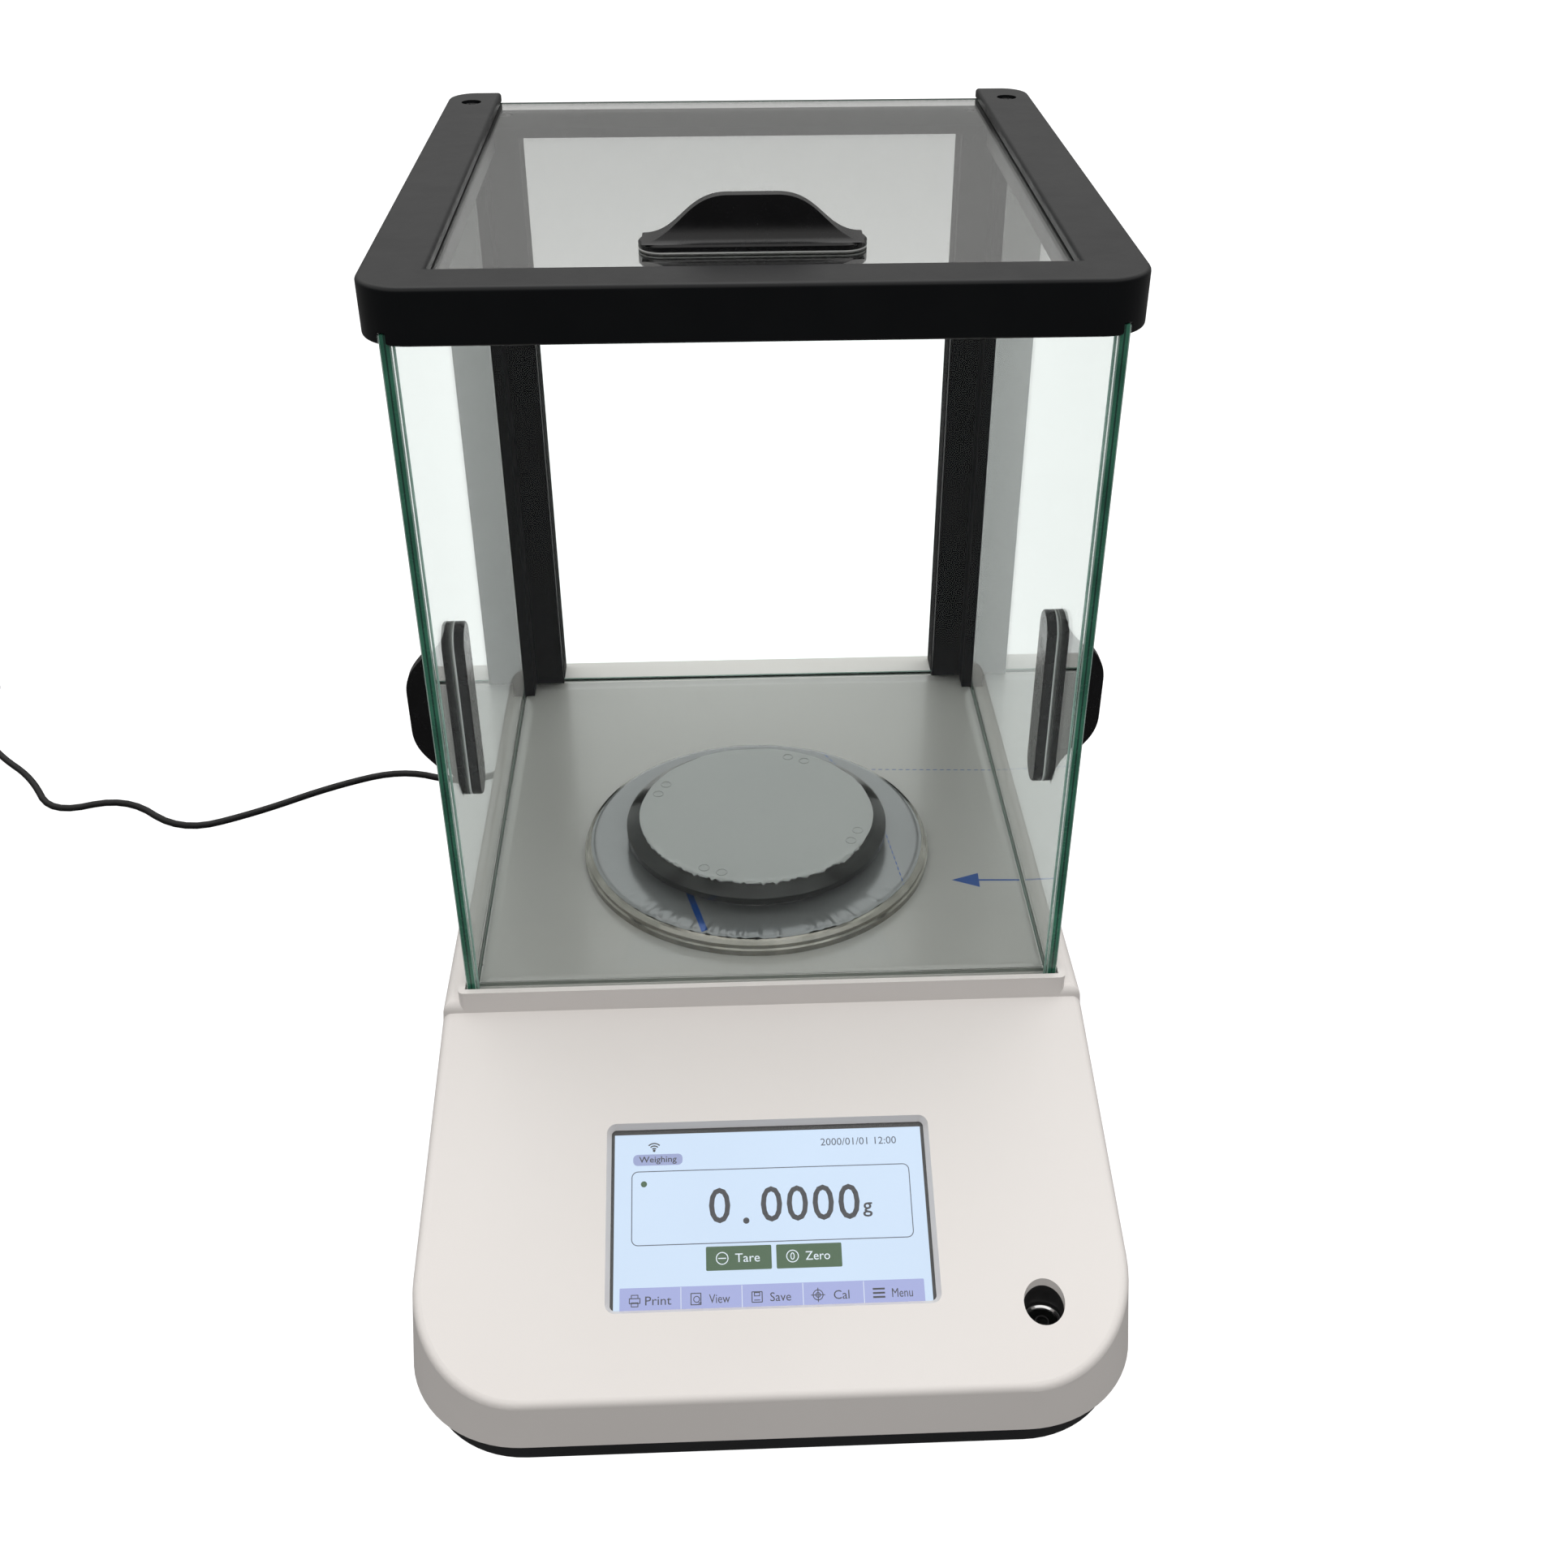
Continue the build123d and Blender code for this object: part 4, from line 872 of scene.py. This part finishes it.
floorFilm = {
    "margin": 0.4, "hole": 43.0, "rings": 14, "steps": 160, "lift": 0.05, "sway": 0.05,
    "tones": ((0.445, 0.440, 0.418), (0.465, 0.460, 0.438)), "rough": (0.28, 0.32), "metal": 0.15,
    "marks": [
        (arrowMark, ((103.0, -5.4), (67.0, -3.9)), 0.9, 9.5),
        (dashMark, ((34.7, 66.9), (90.4, 64.1)), 0.4, 2.6),
    ],
}


def makeFloorFilm():
    low, high = [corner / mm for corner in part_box("floor_plate")]
    margin, hole = floorFilm["margin"], floorFilm["hole"]
    x0, x1, y0, y1 = low.x + margin, high.x - margin, low.y + margin, high.y - margin
    centreY = panAxis[1] / mm
    corners = [math.degrees(math.atan2(y - centreY, x)) % 360 for x in (x0, x1) for y in (y0, y1)]
    angles = sorted([360 * step / floorFilm["steps"] for step in range(floorFilm["steps"])] + corners)
    shape = bmesh.new()
    loops = []
    for index in range(floorFilm["rings"] + 1):
        loop = []
        for degrees in angles:
            cos, sin = math.cos(math.radians(degrees)), math.sin(math.radians(degrees))
            reachX = (x1 if cos > 0 else x0) / cos if abs(cos) > 1e-6 else math.inf
            reachY = ((y1 if sin > 0 else y0) - centreY) / sin if abs(sin) > 1e-6 else math.inf
            radius = hole + (min(reachX, reachY) - hole) * index / floorFilm["rings"]
            x, y = radius * cos, centreY + radius * sin
            height = high.z + film["lift"] + floorFilm["lift"] + floorFilm["sway"] * ripple(x, y, 0.06)
            loop.append(shape.verts.new((x * mm, y * mm, height * mm)))
        loops.append(loop)
    gridOf(shape, loops)
    bmesh.ops.recalc_face_normals(shape, faces=shape.faces)
    finish = filmFinish(
        "floorFilm", *floorFilm["tones"], floorFilm["rough"], floorFilm["metal"], floorFilm["marks"])
    mesh = meshOf("floorFilm", shape, 60)
    return thickened(placed("floorFilm", mesh, "base", "floor_film", finish=finish))


makePanFilm()
makeRingFilm()
makeFloorFilm()


# Spot welds that show through the pan's film
welds = {"count": 4, "first": 65.0, "reach": 36.8, "apart": 6.5, "radius": 1.75, "wire": 0.16,
         "sides": 28, "wireSides": 8}


def makeWelds():
    tree = Pattern("spotWelds", {"count": welds["count"], "radius": welds["radius"] * mm})
    circle = tree.node("GeometryNodeCurvePrimitiveCircle", {}, {
        "Resolution": welds["sides"], "Radius": tree.inputs["radius"]})
    wire = tree.node("GeometryNodeCurvePrimitiveCircle", {}, {
        "Resolution": welds["wireSides"], "Radius": welds["wire"] * mm})
    bead = tree.node("GeometryNodeCurveToMesh", {}, {"Curve": circle, "Profile Curve": wire})
    side = welds["apart"] / 2 * mm
    pair = tree.node("GeometryNodeJoinGeometry", {}, {0: [
        tree.moved(bead, x=welds["reach"] * mm, y=side), tree.moved(bead, x=welds["reach"] * mm, y=-side)]})
    points = tree.node("GeometryNodePoints", {}, {"Count": tree.inputs["count"]})
    step = tree.maths("MULTIPLY", tree.node("GeometryNodeInputIndex"), math.tau / welds["count"])
    turn = tree.point(z=tree.maths("ADD", step, math.radians(welds["first"])))
    copies = tree.node("GeometryNodeInstanceOnPoints", {}, {
        "Points": points, "Instance": pair, "Rotation": turn})
    tree.end([copies], bpy.data.materials["panFilm"])
    mesh = tree.grown("spotWelds")
    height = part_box("weighing_pan")[1].z + (film["lift"] + film["thickness"]) * mm
    mesh.transform(Matrix.Translation((*panAxis, height)))
    mesh.shade_smooth()
    return placed("spotWelds", mesh, "pan", "pan_steel")


makeWelds()
print("films laid")


# Lit display: everything is drawn in millimetres on the module's upper face
screen = {"wide": 95.04, "high": 53.86, "down": 0.8, "lift": 0.03, "step": 0.02}
tints = {
    "glow": (0.610, 0.753, 0.939), "ink": (0.012, 0.014, 0.022), "grey": (0.055, 0.070, 0.110),
    "pill": (0.300, 0.350, 0.600), "leaf": (0.026, 0.090, 0.028), "bar": (0.352, 0.396, 0.716),
    "light": (0.78, 0.86, 0.94), "mask": (0.004, 0.004, 0.005),
}
layers = {"mask": 0, "glow": 0, "bar": 1, "pill": 1, "leaf": 1, "grey": 2, "ink": 2, "light": 2}


def litFinish(name, tint, strength):
    finish = Finish(name, Roughness=0.3)
    clouds = finish.band(finish.noise(24, 2), 0.3, 0.7)
    dots = finish.node("TexVoronoi", {"distance": "CHEBYCHEV"}, {"Scale": 5500.0})
    shown = finish.mix(clouds * 0.6 + dots * 0.4, tuple(value * 0.95 for value in tint), tint)
    return finish.drive(
        Base_Color=shade((0.01, 0.01, 0.01)), Emission_Color=shown, Emission_Strength=strength,
    )


class Drawing:
    def __init__(self):
        self.shape = bmesh.new()
        self.names = list(tints)

    def spot(self, u, v):
        # from shares of the lit area, right and down, to millimetres about its middle
        return ((u - 0.5) * screen["wide"], (0.5 - v) * screen["high"])

    def level(self, tint):
        return screen["lift"] + layers[tint] * screen["step"]

    def loop(self, points, tint):
        return [self.shape.verts.new((x, y, self.level(tint))) for x, y in points]

    def patch(self, points, tint):
        face = self.shape.faces.new(self.loop(points, tint))
        face.material_index = self.names.index(tint)

    def strip(self, outer, inner, tint, closed=True):
        first, second = self.loop(outer, tint), self.loop(inner, tint)
        if closed:
            bridge(self.shape, first, second, self.names.index(tint))
            return
        for a, b, c, d in zip(first, first[1:], second[1:], second):
            self.shape.faces.new((a, b, c, d)).material_index = self.names.index(tint)

    def rounded(self, x, y, wide, high, corner):
        points = []
        for signX, signY, start in [(1, 1, 0), (-1, 1, 90), (-1, -1, 180), (1, -1, 270)]:
            for step in range(6):
                angle = math.radians(start + step * 18)
                points.append((
                    x + signX * (wide / 2 - corner) + corner * math.cos(angle),
                    y + signY * (high / 2 - corner) + corner * math.sin(angle),
                ))
        return points

    def frame(self, x, y, wide, high, corner, line, tint):
        outer = self.rounded(x, y, wide, high, corner)
        inner = self.rounded(x, y, wide - 2 * line, high - 2 * line, max(0.01, corner - line))
        self.strip(outer, inner, tint)

    def arc(self, x, y, radius, line, start, end, tint):
        steps = [math.radians(start + (end - start) * index / 24) for index in range(25)]
        outer = [(x + radius * math.cos(a), y + radius * math.sin(a)) for a in steps]
        thin = radius - line
        inner = [(x + thin * math.cos(a), y + thin * math.sin(a)) for a in steps]
        self.strip(outer, inner, tint, closed=False)

    def dot(self, x, y, radius, tint):
        turns = [math.tau * index / 24 for index in range(24)]
        self.patch([(x + radius * math.cos(a), y + radius * math.sin(a)) for a in turns], tint)

    def bar(self, x, y, wide, high, tint):
        self.patch(self.rounded(x, y, wide, high, 0.02), tint)

    def words(self, text, x, y, high, tint, wide=None, weight=0.0):
        curve = bpy.data.curves.new("words", "FONT")
        curve.body = text
        curve.resolution_u = 3
        curve.offset = weight
        item = bpy.data.objects.new("words", curve)
        bpy.context.scene.collection.objects.link(item)
        graph = bpy.context.evaluated_depsgraph_get()
        mesh = bpy.data.meshes.new_from_object(item.evaluated_get(graph))
        bpy.data.objects.remove(item)
        xs = [vert.co.x for vert in mesh.vertices]
        ys = [vert.co.y for vert in mesh.vertices]
        scaleY = high / (max(ys) - min(ys))
        scaleX = wide / (max(xs) - min(xs)) if wide else scaleY
        middle = Matrix.Translation((-(max(xs) + min(xs)) / 2, -(max(ys) + min(ys)) / 2, 0))
        place = Matrix.Translation((x, y, self.level(tint)))
        mesh.transform(place @ Matrix.Diagonal((scaleX, scaleY, 1, 1)) @ middle)
        before = len(self.shape.faces)
        self.shape.from_mesh(mesh)
        self.shape.faces.ensure_lookup_table()
        for face in self.shape.faces[before:]:
            face.material_index = self.names.index(tint)
        bpy.data.meshes.remove(mesh)


def screenPlane():
    # place and turn of the module's upper face
    face = max((f for f in nodes["screen_module"].data.polygons if f.normal.z > 0.5), key=lambda f: f.area)
    verts = nodes["screen_module"].data.vertices
    upper = [v.co for v in verts if abs((v.co - face.center).dot(face.normal)) < 1e-5]
    middle = sum(upper, Vector()) / len(upper)
    right = Vector((1, 0, 0))
    normal = face.normal.normalized()
    upslope = normal.cross(right)
    turn = Matrix((right, upslope, normal)).transposed().to_4x4()
    return Matrix.Translation(middle) @ turn @ Matrix.Scale(mm, 4)


# each icon's strokes: tool, place across and up, then the tool's own sizes
icons = {
    "Print": [
        ("frame", 0, 0, 3.4, 1.7, 0.2, 0.28), ("frame", 0, 1.2, 2.2, 1.2, 0.1, 0.25),
        ("frame", 0, -1.1, 2.2, 1.4, 0.1, 0.25),
    ],
    "View": [
        ("frame", 0, 0, 3.2, 3.6, 0.2, 0.28), ("arc", 0.2, -0.1, 1.0, 0.26, 0, 360),
        ("bar", 1.2, -1.2, 0.9, 0.35),
    ],
    "Save": [
        ("frame", 0, 0, 3.3, 3.3, 0.25, 0.28), ("frame", 0, 0.8, 1.8, 1.2, 0.1, 0.25),
        ("bar", 0, -0.9, 1.8, 0.25),
    ],
    "Cal": [
        ("arc", 0, 0, 1.6, 0.26, 0, 360), ("arc", 0, 0, 0.8, 0.26, 0, 360),
        ("bar", 0, 0, 4.2, 0.25), ("bar", 0, 0, 0.25, 4.2),
    ],
    "Menu": [("bar", 0, row, 3.6, 0.55) for row in (-1.2, 0, 1.2)],
}


def drawIcon(art, x, y, label):
    for tool, across, up, *sizes in icons[label]:
        getattr(art, tool)(x + across, y + up, *sizes, "ink")


# places on the display, as shares of its lit area
layout = {
    "signal": (0.128, 0.098), "date": (0.795, 0.075), "mode": (0.140, 0.150), "field": (0.505, 0.4275),
    "stable": (0.095, 0.29), "digits": (0.3375, 0.425), "digitStep": 0.0832, "unit": (0.812, 0.475),
    "buttons": {"Tare": (0.395, 0.7225), "Zero": (0.6175, 0.7225)},
    "menu": (0.4975, 0.935), "menuLabels": (0.1155, 0.94), "menuStep": 0.191,
}


def makeDisplay():
    art = Drawing()
    wide, high = screen["wide"], screen["high"]
    art.patch(art.rounded(0, 0, wide, high, 0.02), "glow")
    art.strip(art.rounded(0, 0.3, wide + 9, high + 6.6, 0.8), art.rounded(0, 0, wide, high, 0.02), "mask")
    x, y = art.spot(*layout["signal"])
    for radius in (1.0, 1.8, 2.6):
        art.arc(x, y, radius, 0.4, 45, 135, "ink")
    art.dot(x, y + 0.1, 0.42, "ink")
    art.words("2000/01/01 12:00", *art.spot(*layout["date"]), 2.3, "grey", 23.5)
    x, y = art.spot(*layout["mode"])
    art.patch(art.rounded(x, y, 15.2, 3.5, 1.4), "pill")
    art.words("Weighing", x, y - 0.15, 2.5, "ink", 11.6, 0.01)
    x, y = art.spot(*layout["field"])
    art.frame(x, y, 0.9 * wide, 0.425 * high, 2.0, 0.28, "grey")
    art.dot(*art.spot(*layout["stable"]), 0.95, "leaf")
    u, v = layout["digits"]
    for index, sign in enumerate("0.0000"):
        x, y = art.spot(u + layout["digitStep"] * index, v)
        if sign == ".":
            art.dot(x + 0.1, y - 4.9, 0.95, "ink")
        else:
            art.words(sign, x, y, 10.9, "ink", 6.5, 0.006)
    art.words("g", *art.spot(*layout["unit"]), 4.4, "ink", 2.9, 0.01)
    for label, place in layout["buttons"].items():
        x, y = art.spot(*place)
        art.patch(art.rounded(x, y, 19.7, 7.2, 0.4), "leaf")
        art.arc(x - 5.0, y, 1.9, 0.28, 0, 360, "light")
        if label == "Tare":
            art.bar(x - 5.0, y, 2.4, 0.3, "light")
        else:
            art.words("0", x - 5.0, y, 2.2, "light", 1.3)
        art.words(label, x + 2.6, y, 2.6, "light", 7.4)
    x, y = art.spot(*layout["menu"])
    art.patch(art.rounded(x, y, 0.955 * wide, 0.13 * high, 0.3), "bar")
    u, v = layout["menuLabels"]
    for index, label in enumerate(icons):
        x, y = art.spot(u + layout["menuStep"] * index, v)
        drawIcon(art, x - 4.6, y, label)
        art.words(label, x + 2.4, y - 0.1, 2.6, "ink", 1.55 * len(label))
        if index:
            art.bar(x - 9.05, y + 0.3, 0.18, 6.6, "light")
    seat = screenPlane() @ Matrix.Translation((0, -screen["down"], 0))
    bmesh.ops.transform(art.shape, matrix=seat, verts=art.shape.verts)
    mesh = meshOf("displayImage", art.shape)
    for name, tint in tints.items():
        mesh.materials.append(litFinish("display_" + name, tint, 1.0))
    return placed("displayImage", mesh, "base", "screen")


makeDisplay()
print("display drawn")


# Level: target circle on the vial and the bubble under it
level = {
    "circle": 1.9, "line": 0.28, "lineLift": 0.01, "lineRise": 0.05, "sides": 48,
    "bubble": 1.6, "bubbleFlat": 0.35, "bubbleDepth": 0.75, "offset": (0.5, -0.4),
}


def makeLevelParts():
    low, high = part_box("level_vial")
    centre = ((low.x + high.x) / 2, (low.y + high.y) / 2)
    turns = [math.tau * index / level["sides"] for index in range(level["sides"])]
    shape = bmesh.new()
    loops = []
    for reach, rise in [(-0.5, 0), (0.5, 0), (0.5, 1), (-0.5, 1)]:
        radius = (level["circle"] + reach * level["line"]) * mm
        height = high.z + (level["lineLift"] + rise * level["lineRise"]) * mm
        loops.append([shape.verts.new((
            centre[0] + radius * math.cos(turn), centre[1] + radius * math.sin(turn), height,
        )) for turn in turns])
    gridOf(shape, loops + loops[:1])
    bmesh.ops.recalc_face_normals(shape, faces=shape.faces)
    placed("levelCircle", meshOf("levelCircle", shape, 40), "base", "level_black")
    shape = bmesh.new()
    bmesh.ops.create_uvsphere(shape, u_segments=32, v_segments=16, radius=level["bubble"] * mm)
    bmesh.ops.scale(shape, vec=(1, 1, level["bubbleFlat"]), verts=shape.verts)
    east, north = level["offset"]
    spot = (centre[0] + east * mm, centre[1] + north * mm, high.z - level["bubbleDepth"] * mm)
    bmesh.ops.translate(shape, vec=spot, verts=shape.verts)
    bubble = clearFinish("levelBubble", (0.95, 0.96, 0.95), (0.9, 0.93, 0.9), 0.01, 1.1)
    placed("levelBubble", meshOf("levelBubble", shape, 180), "base", "level_vial", finish=bubble)


makeLevelParts()
print("level filled")
